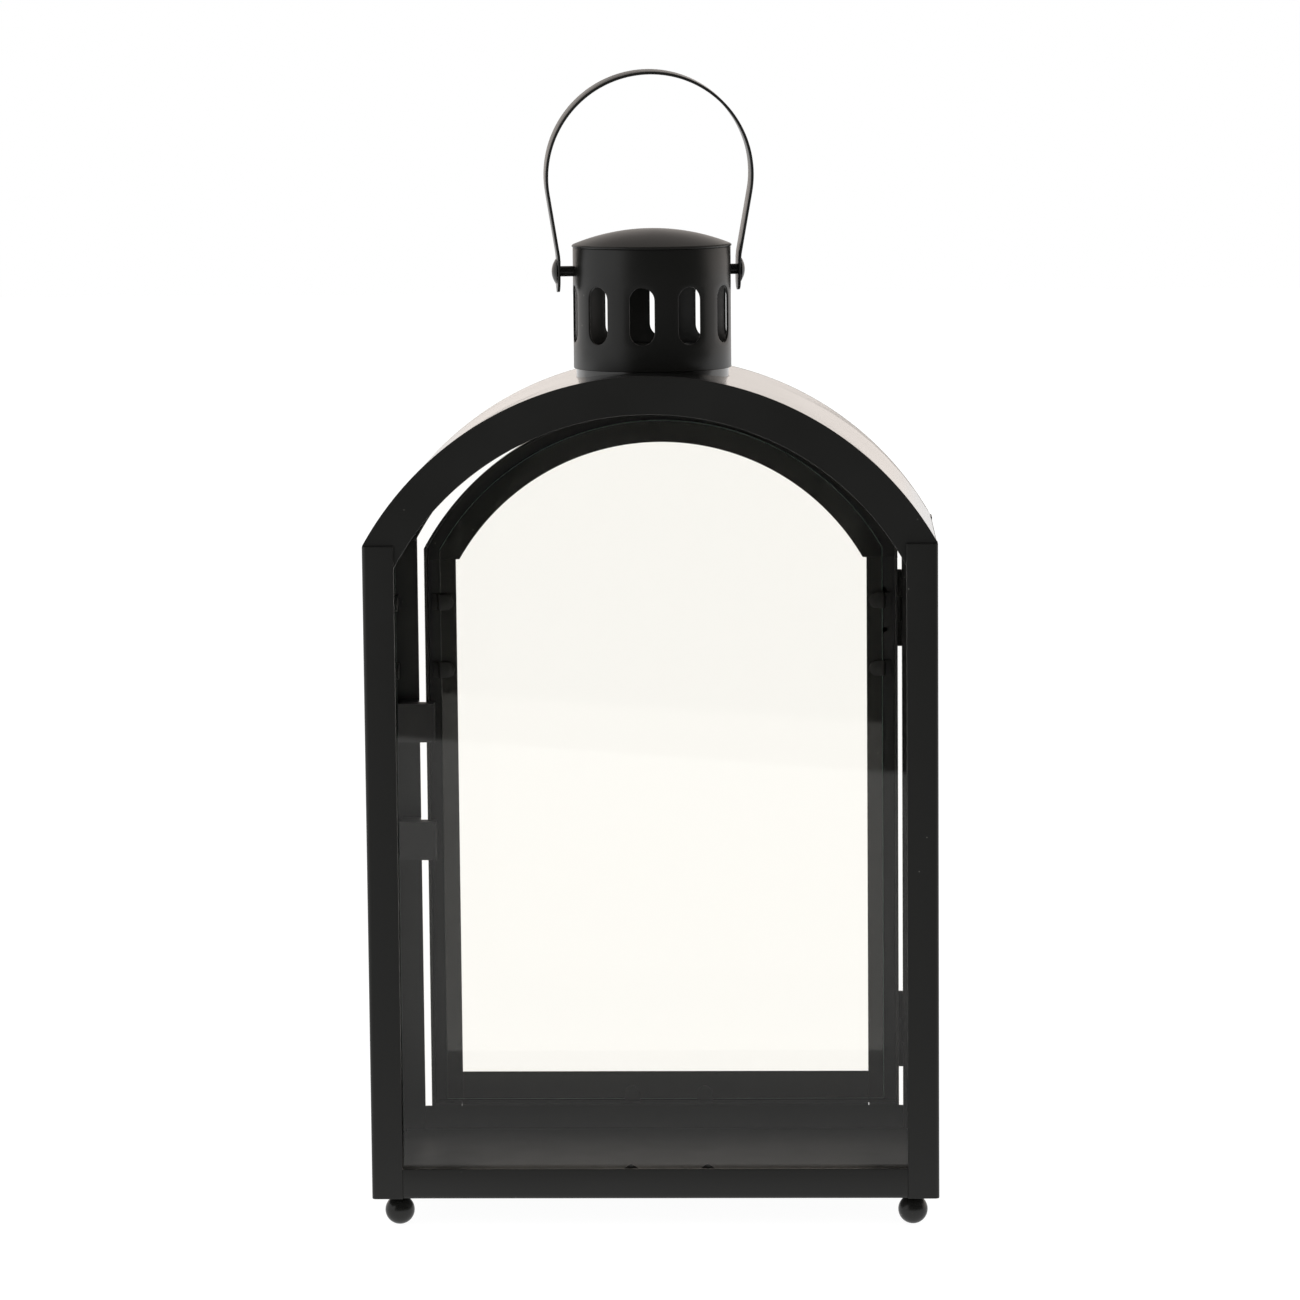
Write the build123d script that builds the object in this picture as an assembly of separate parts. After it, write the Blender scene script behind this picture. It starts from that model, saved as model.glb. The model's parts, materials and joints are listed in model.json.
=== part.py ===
"""A black steel candle lantern: a glazed box frame with a barrel roof, a slotted chimney, a
strip bail handle on two rivets, ball feet and an arched, glazed door hung on two butt hinges.

Frame: +Z up, millimetres. The origin is on the ground under the middle of the frame.
-Y is the fixed glazed front, +Y is the back with the door, and the door's hinges are on +X.
"""

import os
from math import acos, atan2, cos, hypot, sin, sqrt, tan

from build123d import *

# ---- Driving dimensions, mm -------------------------------------------------------------

# Box frame of folded steel angle
frame_width = 200.0
frame_depth = 105.0
post_width = 11.0  # each flange of a corner angle
rail_height = 10.8  # upright flange of a bottom rail
steel = 1.2  # thickness of the frame's angles and arches
eave_height = 231.5  # from the frame's underside to the top of the posts
arch_rise = 58.6  # from the eave to the top of the arch
arch_band = 13.4  # face width of an arch
arch_lap = 9.0  # length of arch hidden behind each post
seat_flange = 8.0  # depth of the flange that carries the roof
lap_clearance = 0.2  # between an arch's tips and the post's side flange

# Roof, base and feet
roof_sheet = 1.0
roof_step = 0.4  # the front arch stands this much proud of the roof
base_sheet = 1.0
base_clearance = 0.2  # between the base plate's edge and the frame
foot_diameter = 10.4
foot_neck_diameter = 5.6
foot_neck_rise = 0.2  # of neck that shows between the ball and the frame
foot_inset_x = 9.2  # from the frame's side to the foot's centre
foot_inset_y = 8.0

# Chimney, its collar in the roof and its cap
chimney_diameter = 56.0
chimney_height = 43.6
chimney_wall = 0.8
slot_count = 10
slot_width = 9.0
slot_height = 20.2
slot_bottom = 9.3  # from the chimney's lower edge to the slots
slot_turn = 12.4  # degrees about Z from +X to the middle of the first slot
collar_wall = 0.8
collar_clearance = 0.1  # between the collar and the chimney it stands in, and the roof's hole
collar_inside = 7.0  # height of the collar inside the chimney
collar_below = 7.0  # length of the collar below the roof's crown
cap_overhang = 0.35
cap_rise = 5.6
cap_wall = 0.8

# Handle strip and its two rivets
handle_thick = 1.0
handle_wide = 9.0
handle_stand_off = 4.1  # from the chimney's side to the middle of the strip's end
handle_bulge = 4.3  # how much further out the arc reaches than the strip's ends
handle_arc_height = 33.9  # of the arc's centre above the rivets
handle_flat = 5.0  # length of the upright end above the rivet
handle_tail = 7.4  # length of the end below the rivet
handle_lean = 6.0  # degrees, towards the front, as it stands at rest
handle_turn = 8.0  # degrees that the chimney's rivets and the handle stand askew
handle_shift = -1.2  # of the handle along its rivets, towards the left
pivot_height = 34.4  # of the rivets above the chimney's lower edge
rivet_diameter = 3.7
rivet_head_diameter = 8.8
rivet_head_thick = 1.5
rivet_inner_head_diameter = 7.0
rivet_inner_head_thick = 1.2
rivet_running = 0.08  # radial clearance of the handle on the rivet
rivet_play = 0.3  # along the rivet, from the strip to the head
rivet_hole_clearance = 0.05

# Door of thinner folded angle
door_sheet = 1.0
door_stile = 11.3
door_rail = 12.0
door_flange = 7.0  # depth of the flange round the door's edge
door_gap_latch = 2.9
door_gap_hinge = 1.6
door_gap_bottom = 1.1
door_gap_top = 4.7
door_arch_band = 13.3
door_arch_inset = 15.824  # outer radius of the frame's arch less that of the door's arch
door_arch_lap = 4.6  # length of arch below the corner where it meets the stile's outer edge
knob_diameter = 7.5
knob_height = 4.4
knob_neck_diameter = 4.0
knob_rounding = 0.45  # of the button's height, at its two edges
knob_z = 135.0  # above the frame's underside

# Glass and the bent tabs that hold it
glass = 2.0
glass_gap = 0.1
glass_inset = 5.5  # from the frame's sides to the front pane's edges
glass_lap_arch = 8.1  # how far a pane reaches behind its arch
door_glass_lap = 5.8
door_glass_lap_bottom = 10.0
side_glass_inset = 5.0  # from the frame's front and back to a side pane's edge
side_glass_lap_top = 5.0
tab_width = 5.8
tab_sheet = 0.8
tab_reach = 5.0
tab_foot = 2.2  # of a tab on the frame, beside the pane
tab_drops = (31.3, 56.4)  # of the upper tabs' middles below the eave
tab_spread = 27.0  # between the two tabs along a bottom edge
front_tab_shift = 5.0
door_tab_shift = 1.9
tongue_rise = 1.0  # of a pane's bottom tongues above the rail

# Hinges
hinge_height = 27.5
hinge_drop = 35.0  # of the upper hinge's middle below the eave
hinge_rise = 39.0  # of the lower hinge's middle above the frame's underside
hinge_leaf = 9.0
hinge_sheet = 0.8
knuckle_diameter = 3.2
knuckle_gap = 0.3
knuckle_seat = 0.05  # between a knuckle and the frame's back
pin_diameter = 1.6
pin_running = 0.05
pin_head_diameter = 2.4
pin_head_thick = 0.8
hinge_rivet_diameter = 2.0
hinge_rivet_head = 3.4
hinge_rivet_rise = 0.7
hinge_rivet_spread = 15.0

# Magnetic catches on the post opposite the hinges
catch_height = 14.2
catch_drops = (74.8, 118.6)  # of the catches' middles below the eave
catch_depth = 12.0
catch_lip = 6.3  # how far the lip reaches past the post's edge
catch_inset = 4.0  # from the frame's side to the catch's body
catch_clearance = 0.3

# ---- Sizes worked out from those -----------------------------------------------------------

half_width = frame_width / 2
front = -frame_depth / 2
back = frame_depth / 2
under = foot_diameter + foot_neck_rise  # the frame's underside, above the ground
eave = under + eave_height
arch_radius = (half_width**2 + arch_rise**2) / (2 * arch_rise)
arch_centre = eave + arch_rise - arch_radius
arch_inner = arch_radius - arch_band
opening_half = half_width - post_width
side_face = half_width - steel  # inner face of a side flange
roof_outer = arch_radius - roof_step
roof_inner = roof_outer - roof_sheet
crown = arch_centre + roof_outer
base_low = under + steel
base_top = base_low + base_sheet
pane_space = glass + 2 * glass_gap  # between what a pane lies against and its tongues
chimney_radius = chimney_diameter / 2
cap_edge = crown + chimney_height
tube_top = cap_edge - cap_wall
collar_outer = chimney_radius - chimney_wall - collar_clearance
collar_bottom = crown - collar_below
pivot_z = crown + pivot_height
strip_x = chimney_radius + handle_stand_off
handle_arc_radius = strip_x + handle_bulge  # of the strip's middle line
hole_radius = (rivet_diameter / 2) + rivet_running
door_left = -opening_half + door_gap_latch
door_right = opening_half - door_gap_hinge
door_half = (door_right - door_left) / 2
door_middle = (door_right + door_left) / 2
door_bottom = under + rail_height + door_gap_bottom
door_arch_radius = arch_radius - door_arch_inset
door_centre = arch_centre + arch_inner - door_gap_top - door_arch_radius
door_arch_inner = door_arch_radius - door_arch_band
door_corner = door_centre + sqrt(door_arch_radius**2 - door_half**2)
door_split = door_corner - door_arch_lap
door_face = back - door_sheet  # inner side of the door's sheet
hinge_x = door_right + door_gap_hinge / 2
hinge_y = back + knuckle_diameter / 2 + knuckle_seat
hinge_heights = (eave_height - hinge_drop, hinge_rise)  # above the frame's underside
knuckle_length = (hinge_height - 2 * knuckle_gap) / 3
leaf_edge = knuckle_diameter / 2 + knuckle_gap  # from the hinge's axis to a leaf's plain edge


# ---- Building blocks -------------------------------------------------------------------------


def block(x_range, y_range, z_range):
    """A box between two X, two Y and two Z values."""
    size = [high - low for low, high in (x_range, y_range, z_range)]
    middle = [(low + high) / 2 for low, high in (x_range, y_range, z_range)]
    return Pos(*middle) * Box(*size)


def span(a, b):
    """Two values in rising order."""
    return (min(a, b), max(a, b))


def upright(outline, y_range):
    """An outline drawn in X and Z, as a slab between two Y values."""
    low, high = y_range
    plane = Plane(origin=(0, high, 0), x_dir=(1, 0, 0), z_dir=(0, -1, 0))
    return extrude(plane * outline, amount=high - low)


def arched(half, bottom, centre, radius, middle=0.0):
    """An outline with upright sides from bottom and a round head about (middle, centre)."""
    shoulder = centre + sqrt(radius**2 - half**2)
    left, right = middle - half, middle + half
    sides = Polyline((left, shoulder), (left, bottom), (right, bottom), (right, shoulder))
    head = ThreePointArc((right, shoulder), (middle, centre + radius), (left, shoulder))
    return Face(Wire(sides.edges() + head.edges()))


def panel(x_range, z_range):
    """A rectangle drawn in X and Z."""
    (x0, x1), (z0, z1) = x_range, z_range
    return Pos((x0 + x1) / 2, (z0 + z1) / 2) * Rectangle(x1 - x0, z1 - z0)


def ring(centre, outer, inner):
    """A flat ring drawn in X and Z about (0, centre)."""
    return Pos(0, centre) * (Circle(outer) - Circle(inner))


def post_at(x, y, z, radius, z_high):
    """An upright cylinder from z to z_high."""
    return Pos(x, y, (z + z_high) / 2) * Cylinder(radius, z_high - z)


def rod(start, direction, radius, length):
    """A cylinder from a point along a direction."""
    plane = Plane(origin=start, z_dir=direction)
    return extrude(plane * Circle(radius), amount=length)


def domed_head(start, direction, radius, rise):
    """A shallow dome with its flat side at start, rising along a level direction."""
    dome = (radius**2 + rise**2) / (2 * rise)
    half = atan2(radius, dome - rise) / 2
    middle = (dome * sin(half), rise - dome + dome * cos(half))
    flat = Polyline((0, rise), (0, 0), (radius, 0))
    arc = ThreePointArc((radius, 0), middle, (0, rise))
    profile = Face(Wire(flat.edges() + arc.edges()))
    up = Vector(0, 0, 1)
    plane = Plane(origin=start, x_dir=up, z_dir=up.cross(Vector(*direction)))
    return revolve(plane * profile, axis=Axis(start, direction))


# ---- Frame ---------------------------------------------------------------------------------


def corner_post(side, end):
    """An upright angle at one corner: a flange across the face and one along the side."""
    face_y = end * frame_depth / 2
    outer_x = side * half_width
    across = block(
        span(outer_x, side * opening_half), span(face_y, face_y - end * steel), (under, eave)
    )
    along = block(
        span(outer_x, side * side_face), span(face_y, face_y - end * post_width), (under, eave)
    )
    return across + along


def cross_rail(end):
    """A bottom angle between two posts, with its lower flange turned in under the base."""
    face_y = end * frame_depth / 2
    inner_y = face_y - end * steel
    wall = block(
        (-opening_half, opening_half), span(face_y, inner_y), (under, under + rail_height)
    )
    floor = block(
        (-side_face, side_face), span(inner_y, face_y - end * post_width), (under, base_low)
    )
    return wall + floor


def side_rail(side):
    """A bottom angle along one side, between the posts."""
    reach = frame_depth / 2 - post_width
    wall = block(
        span(side * half_width, side * side_face), (-reach, reach), (under, under + rail_height)
    )
    floor = block(
        span(side * side_face, side * opening_half), (-reach, reach), (under, base_low)
    )
    return wall + floor


def eave_rail(side):
    """The top angle along one side, with its upper flange turned in under the roof's edge."""
    reach = frame_depth / 2 - post_width
    wall = block(
        span(side * half_width, side * side_face), (-reach, reach), (eave - post_width, eave)
    )
    ledge = block(
        span(side * side_face, side * opening_half), (-reach, reach), (eave - steel, eave)
    )
    return wall + ledge


def frame_arch(end, outer_radius):
    """An arch just behind the posts' faces: a face band and a flange that carries the roof."""
    face_y = end * (frame_depth / 2 - steel)
    band_y = face_y - end * steel
    above = panel((-half_width, half_width), (eave, arch_centre + arch_radius))
    tip_reach = side_face - lap_clearance
    tips = panel((-tip_reach, tip_reach), (eave - arch_lap, eave))
    band = ring(arch_centre, outer_radius, arch_inner) & (above + tips)
    flange = ring(arch_centre, roof_inner, roof_inner - steel) & above
    return upright(band, span(face_y, band_y)) + upright(
        flange, span(band_y, band_y - end * seat_flange)
    )


def roof():
    """A curved sheet between the two arches, with a round hole under the chimney."""
    reach = frame_depth / 2 - 2 * steel
    above = panel((-half_width, half_width), (eave, arch_centre + arch_radius))
    sheet = upright(ring(arch_centre, roof_outer, roof_inner) & above, (-reach, reach))
    hole = post_at(0, 0, eave, collar_outer + collar_clearance, crown + roof_sheet)
    return sheet - hole


def base_plate():
    """The floor: a flat sheet lying on the rails' lower flanges, between the tongues that hold
    the panes, and back to the rear rail."""
    reach = side_face - pane_space - tab_sheet
    near = front + 2 * steel + pane_space + tab_sheet
    far = frame_depth / 2 - steel - base_clearance
    return block((-reach, reach), (near, far), (base_low, base_top))


def foot(side, end):
    """A ball on a short neck under one corner."""
    x = side * (half_width - foot_inset_x)
    y = end * (frame_depth / 2 - foot_inset_y)
    radius = foot_diameter / 2
    neck = post_at(x, y, radius, foot_neck_diameter / 2, under)
    return Pos(x, y, radius) * Sphere(radius) + neck


# ---- Chimney -------------------------------------------------------------------------------


def collar():
    """The short tube in the roof's hole that the chimney stands over."""
    inside = crown + collar_inside
    outer = post_at(0, 0, collar_bottom, collar_outer, inside)
    return outer - post_at(0, 0, collar_bottom, collar_outer - collar_wall, inside)


def chimney():
    """The chimney's tube, with a ring of round-ended slots and two rivet holes."""
    tube = post_at(0, 0, crown, chimney_radius, tube_top)
    tube -= post_at(0, 0, crown, chimney_radius - chimney_wall, tube_top)
    outline = SlotOverall(slot_height, slot_width, rotation=90)
    middle = crown + slot_bottom + slot_height / 2
    for index in range(slot_count):
        turn = slot_turn + index * 360 / slot_count
        plane = Plane(origin=(0, 0, middle)).rotated((0, 0, turn))
        wall = Plane(origin=plane.origin, x_dir=plane.y_dir, z_dir=plane.x_dir)
        tube -= extrude(wall * outline, amount=chimney_diameter)
    holes = rivet_diameter / 2 + rivet_hole_clearance
    drill = rod((-chimney_diameter, 0, pivot_z), (1, 0, 0), holes, 2 * chimney_diameter)
    return tube - Rot(0, 0, handle_turn) * drill


def chimney_cap():
    """A shallow dome whose rim lies on the chimney's top edge."""
    outer = chimney_radius + cap_overhang
    inner = chimney_radius - chimney_wall
    dome = (outer**2 + cap_rise**2) / (2 * cap_rise)
    centre = cap_edge + cap_rise - dome
    inner_dome = dome - cap_wall
    inner_edge = centre + sqrt(inner_dome**2 - inner**2)
    half = atan2(outer, cap_edge - centre) / 2
    outer_mid = (dome * sin(half), centre + dome * cos(half))
    inner_mid = (inner_dome * sin(half), centre + inner_dome * cos(half))
    lines = [
        ThreePointArc((0, cap_edge + cap_rise), outer_mid, (outer, cap_edge)),
        Polyline(
            (outer, cap_edge),
            (outer, tube_top),
            (inner, tube_top),
            (inner, inner_edge),
        ),
        ThreePointArc((inner, inner_edge), inner_mid, (0, centre + inner_dome)),
        Line((0, centre + inner_dome), (0, cap_edge + cap_rise)),
    ]
    profile = Face(Wire([edge for line in lines for edge in line.edges()]))
    return revolve(Plane.XZ * profile, axis=Axis.Z)


# ---- Handle ----------------------------------------------------------------------------------


def handle():
    """A strip bent into a bail: upright ends on the rivets, straight legs, a round top."""
    drop = handle_arc_height - handle_flat
    tilt = atan2(drop, strip_x) - acos(handle_arc_radius / hypot(strip_x, drop))

    def edge_line(offset):
        """One face of the strip, from the right end over the top to the left end."""
        radius = handle_arc_radius + offset
        end = (strip_x + offset, -handle_tail)
        bend = (strip_x + offset, handle_flat - offset * tan(tilt / 2))
        touch = (radius * cos(tilt), handle_arc_height - radius * sin(tilt))
        top = (0, handle_arc_height + radius)
        right = Polyline(end, bend, touch)
        left = Polyline(*[(-x, z) for x, z in (touch, bend, end)])
        arc = ThreePointArc(touch, top, (-touch[0], touch[1]))
        return right.edges() + arc.edges() + left.edges()

    outer = edge_line(handle_thick / 2)
    inner = edge_line(-handle_thick / 2)
    near, far = strip_x - handle_thick / 2, strip_x + handle_thick / 2
    ends = [Line((s * near, -handle_tail), (s * far, -handle_tail)) for s in (1, -1)]
    outline = Face(Wire(list(outer) + list(inner) + [line.edge() for line in ends]))
    strip = upright(outline, (-handle_wide / 2, handle_wide / 2))
    end_radius = handle_wide / 2
    top = handle_arc_height + handle_arc_radius + handle_thick
    keep = block(
        (-2 * strip_x, 2 * strip_x), (-end_radius, end_radius), (end_radius - handle_tail, top)
    )
    round_end = rod((-2 * strip_x, 0, end_radius - handle_tail), (1, 0, 0), end_radius, 4 * strip_x)
    strip = strip & (keep + round_end)
    strip -= rod((-2 * strip_x, 0, 0), (1, 0, 0), hole_radius, 4 * strip_x)
    askew = Pos(0, 0, pivot_z) * Rot(0, 0, handle_turn)
    return askew * Pos(handle_shift, 0, 0) * Rot(handle_lean, 0, 0) * strip


def handle_rivet(side):
    """A rivet through the chimney's wall, with a domed head outside the strip."""
    radius = rivet_diameter / 2
    wall_flat = sqrt((chimney_radius - chimney_wall) ** 2 - (rivet_inner_head_diameter / 2) ** 2)
    inside = wall_flat - collar_clearance
    head_low = strip_x + handle_thick / 2 + rivet_play + side * handle_shift
    axis = (side, 0, 0)
    shank = rod((side * inside, 0, pivot_z), axis, radius, head_low - inside)
    inner_low = inside - rivet_inner_head_thick
    inner = rod(
        (side * inner_low, 0, pivot_z), axis, rivet_inner_head_diameter / 2, rivet_inner_head_thick
    )
    outer = domed_head(
        (side * head_low, 0, pivot_z), axis, rivet_head_diameter / 2, rivet_head_thick
    )
    return Rot(0, 0, handle_turn) * (shank + inner + outer)


# ---- Door --------------------------------------------------------------------------------------


def door_shell():
    """The whole door frame: a flat face with an arched window and a flange round its edge."""
    outline = arched(door_half, door_bottom, door_centre, door_arch_radius, door_middle)
    window = arched(
        door_half - door_stile, door_bottom + door_rail, door_centre, door_arch_inner, door_middle
    )
    hollow = arched(
        door_half - door_sheet,
        door_bottom + door_sheet,
        door_centre,
        door_arch_radius - door_sheet,
        door_middle,
    )
    face = upright(outline, (door_face, back)) - upright(window, (door_face, back))
    rim = upright(outline, (back - door_flange, door_face))
    rim -= upright(hollow, (back - door_flange, door_face))
    return face + rim


def door_pieces():
    """The door frame as its four pieces: two stiles, a bottom rail and an arch."""
    shell = door_shell()
    depth = (back - door_flange, back)
    rail_top = door_bottom + door_rail
    stile_x = door_half - door_stile
    top = door_centre + door_arch_radius
    wide = (door_middle - door_half, door_middle + door_half)
    arch_zone = block(wide, depth, (door_split, top))
    between = (door_middle - stile_x, door_middle + stile_x)
    rail_zone = block(between, depth, (door_bottom, rail_top))
    pieces = {"door_arch": shell & arch_zone, "door_rail": shell & rail_zone}
    # The stiles stay straight up to the arch, so the arch's ends stand a little inside them.
    for name, low, high in (
        ("door_stile_latch", wide[0], between[0]),
        ("door_stile_hinge", between[1], wide[1]),
    ):
        pieces[name] = shell & block((low, high), depth, (door_bottom, door_split))
    return pieces


def door_knob():
    """A low turned pull on the latch stile."""
    x = door_left + door_stile / 2
    z = under + knob_z
    neck = knob_height / 3
    stem = rod((x, back, z), (0, 1, 0), knob_neck_diameter / 2, knob_height - neck)
    button = rod((x, back + neck, z), (0, 1, 0), knob_diameter / 2, knob_height - neck)
    rims = button.edges().filter_by(GeomType.CIRCLE)
    return stem + fillet(rims, (knob_height - neck) * knob_rounding)


# ---- Glass and tabs ----------------------------------------------------------------------------


def glass_front():
    """The fixed arched pane behind the front arch and posts."""
    low = front + 2 * steel + glass_gap
    outline = arched(
        half_width - glass_inset, base_low + glass_gap, arch_centre, arch_inner + glass_lap_arch
    )
    return upright(outline, (low, low + glass))


def glass_side(side):
    """A rectangular side pane against the posts' side flanges."""
    outer = side_face - glass_gap
    reach = frame_depth / 2 - side_glass_inset
    top = eave - post_width + side_glass_lap_top
    x_range = span(side * outer, side * (outer - glass))
    return block(x_range, (-reach, reach), (base_low + glass_gap, top))


def glass_door():
    """The door's arched pane against the inner side of the door's sheet."""
    high = door_face - glass_gap
    outline = arched(
        door_half - door_stile + door_glass_lap,
        door_bottom + door_rail - door_glass_lap_bottom,
        door_centre,
        door_arch_inner + glass_lap_arch,
        door_middle,
    )
    return upright(outline, (high - glass, high))


def bent_tab(origin, inward, off_frame, rise, foot):
    """A strip beside a pane's edge, bent over it, with a foot on the frame if one fits: origin
    is on the frame at the pane's edge, inward points along the pane, off_frame off the frame."""
    plane = Plane(origin=origin, x_dir=inward, z_dir=off_frame)
    outer = -glass_gap - tab_sheet
    riser = block((outer, -glass_gap), (-tab_width / 2, tab_width / 2), (0, rise + tab_sheet))
    straight = tab_reach - tab_width / 2
    over = block((outer, straight), (-tab_width / 2, tab_width / 2), (rise, rise + tab_sheet))
    tip = post_at(straight, 0, rise, tab_width / 2, rise + tab_sheet)
    tab = riser + over + tip
    if foot:
        tab += block((outer - foot, outer), (-tab_width / 2, tab_width / 2), (0, tab_sheet))
    return plane.location * tab


def tongue(origin, inward):
    """An upright tongue between a pane and the base plate's edge, welded to the rail's lower
    flange: origin is on the flange at the tongue's outer face."""
    plane = Plane(origin=origin, x_dir=inward, z_dir=(0, 0, 1))
    height = rail_height - steel + tongue_rise
    straight = height - tab_width / 2
    wall = block((0, tab_sheet), (-tab_width / 2, tab_width / 2), (0, straight))
    tip = rod((0, 0, straight), (1, 0, 0), tab_width / 2, tab_sheet)
    return plane.location * (wall + tip)


def tabs_front():
    """The front pane's tabs: two on each post, and two tongues along the bottom."""
    face = front + steel
    rise = steel + pane_space
    edge = half_width - glass_inset
    pieces = [
        bent_tab((side * edge, face, eave - drop), (-side, 0, 0), (0, 1, 0), rise, tab_foot)
        for side in (-1, 1)
        for drop in tab_drops
    ]
    for side in (-1, 1):
        x = front_tab_shift + side * tab_spread / 2
        pieces.append(tongue((x, face + steel + pane_space, base_low), (0, 1, 0)))
    return pieces


def tabs_side(side):
    """A side pane's tabs: two on each post, and two tongues along the bottom."""
    rise = pane_space
    edge = frame_depth / 2 - side_glass_inset
    pieces = [
        bent_tab(
            (side * side_face, end * edge, eave - drop), (0, -end, 0), (-side, 0, 0), rise, tab_foot
        )
        for end in (-1, 1)
        for drop in tab_drops
    ]
    inside = side * (side_face - pane_space)
    for end in (-1, 1):
        pieces.append(tongue((inside, end * tab_spread / 2, base_low), (-side, 0, 0)))
    return pieces


def tabs_door():
    """The door pane's tabs: two on each stile and two on the bottom rail."""
    rise = pane_space
    edge = door_half - door_stile + door_glass_lap
    low = door_bottom + door_rail - door_glass_lap_bottom
    pieces = [
        bent_tab(
            (door_middle + side * edge, door_face, eave - drop),
            (-side, 0, 0),
            (0, -1, 0),
            rise,
            tab_foot,
        )
        for side in (-1, 1)
        for drop in tab_drops
    ]
    for side in (-1, 1):
        x = door_tab_shift + side * tab_spread / 2
        pieces.append(bent_tab((x, door_face, low), (0, 0, 1), (0, -1, 0), rise, 0))
    return pieces


# ---- Hinges and catches --------------------------------------------------------------------------


def hinge_rivet_points(side):
    """The rivets' centres on one side's leaves: side is 1 on the post and -1 on the door."""
    x = hinge_x + side * (leaf_edge + hinge_leaf) / 2
    return [
        (x, under + middle + step * hinge_rivet_spread / 2)
        for middle in hinge_heights
        for step in (-1, 1)
    ]


def hinge_rivet(x, z, behind):
    """A small domed rivet through a leaf and the sheet behind it, flush on the inside."""
    outer = back + hinge_sheet
    inner = back - behind
    shank = rod((x, inner, z), (0, 1, 0), hinge_rivet_diameter / 2, outer - inner)
    return shank + domed_head((x, outer, z), (0, 1, 0), hinge_rivet_head / 2, hinge_rivet_rise)


def rivet_holes(side):
    """The cylinders that cut one side's hinge rivet holes."""
    radius = hinge_rivet_diameter / 2 + rivet_hole_clearance
    reach = hinge_sheet + steel
    return [
        rod((x, back - reach, z), (0, 1, 0), radius, 2 * reach)
        for x, z in hinge_rivet_points(side)
    ]


def hinge_leaf_plate(middle, side):
    """One leaf: side 1 is on the post and has two knuckles, side -1 is on the door with one."""
    low = under + middle - hinge_height / 2
    high = low + hinge_height
    plate_x = span(hinge_x + side * leaf_edge, hinge_x + side * hinge_leaf)
    leaf = block(plate_x, (back, back + hinge_sheet), (low, high))
    pitch = knuckle_length + knuckle_gap
    starts = (low, low + 2 * pitch) if side > 0 else (low + pitch,)
    bore = pin_diameter / 2 + (0 if side > 0 else pin_running)
    for start in starts:
        arm_x = span(hinge_x, hinge_x + side * leaf_edge)
        leaf += block(arm_x, (back, back + hinge_sheet), (start, start + knuckle_length))
        leaf += post_at(hinge_x, hinge_y, start, knuckle_diameter / 2, start + knuckle_length)
    leaf -= post_at(hinge_x, hinge_y, low, bore, high)
    for hole in rivet_holes(side):
        leaf -= hole
    return leaf


def hinge_pin(middle):
    """A headed pin through a hinge's three knuckles."""
    low = under + middle - hinge_height / 2
    high = low + hinge_height
    pin = post_at(hinge_x, hinge_y, low, pin_diameter / 2, high)
    return pin + post_at(hinge_x, hinge_y, high, pin_head_diameter / 2, high + pin_head_thick)


def catch(drop):
    """A magnetic catch on the latch post, with a lip that the door's flange closes on."""
    low = eave - drop - catch_height / 2
    z_range = (low, low + catch_height)
    inner_y = back - steel - catch_depth
    body = block((catch_inset - half_width, -opening_half), (inner_y, back - steel), z_range)
    lip_y = (inner_y, back - door_flange - catch_clearance)
    return body + block((-opening_half, catch_lip - opening_half), lip_y, z_range)


# ---- Assembly ------------------------------------------------------------------------------------


def assembly():
    """Every node by name, each a solid or a list of like solids."""
    nodes = {}
    sides = (("left", -1), ("right", 1))
    ends = (("front", -1), ("rear", 1))
    for end_name, end in ends:
        for side_name, side in sides:
            nodes[f"post_{end_name}_{side_name}"] = corner_post(side, end)
            nodes[f"foot_{end_name}_{side_name}"] = foot(side, end)
        nodes[f"rail_{end_name}"] = cross_rail(end)
    for side_name, side in sides:
        nodes[f"rail_{side_name}"] = side_rail(side)
        nodes[f"eave_{side_name}"] = eave_rail(side)
        nodes[f"glass_{side_name}"] = glass_side(side)
        nodes[f"tabs_{side_name}"] = tabs_side(side)
        nodes[f"handle_rivet_{side_name}"] = handle_rivet(side)
    nodes["arch_front"] = frame_arch(-1, arch_radius)
    # The rear arch is flush with the roof.
    nodes["arch_rear"] = frame_arch(1, roof_outer)
    nodes["roof"] = roof()
    nodes["base_plate"] = base_plate()
    nodes["glass_front"] = glass_front()
    nodes["tabs_front"] = tabs_front()
    nodes["collar"] = collar()
    nodes["chimney"] = chimney()
    nodes["chimney_cap"] = chimney_cap()
    nodes["handle"] = handle()
    nodes.update(door_pieces())
    nodes["door_knob"] = door_knob()
    nodes["glass_door"] = glass_door()
    nodes["tabs_door"] = tabs_door()
    for level, middle in zip(("upper", "lower"), hinge_heights):
        nodes[f"hinge_leaf_frame_{level}"] = hinge_leaf_plate(middle, 1)
        nodes[f"hinge_leaf_door_{level}"] = hinge_leaf_plate(middle, -1)
        nodes[f"hinge_pin_{level}"] = hinge_pin(middle)
    for level, drop in zip(("upper", "lower"), catch_drops):
        nodes[f"catch_{level}"] = catch(drop)
    nodes["hinge_rivets_frame"] = [hinge_rivet(x, z, steel) for x, z in hinge_rivet_points(1)]
    nodes["hinge_rivets_door"] = [hinge_rivet(x, z, door_sheet) for x, z in hinge_rivet_points(-1)]
    for name, side in (("post_rear_right", 1), ("door_stile_hinge", -1)):
        for hole in rivet_holes(side):
            nodes[name] -= hole
    return nodes


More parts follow.
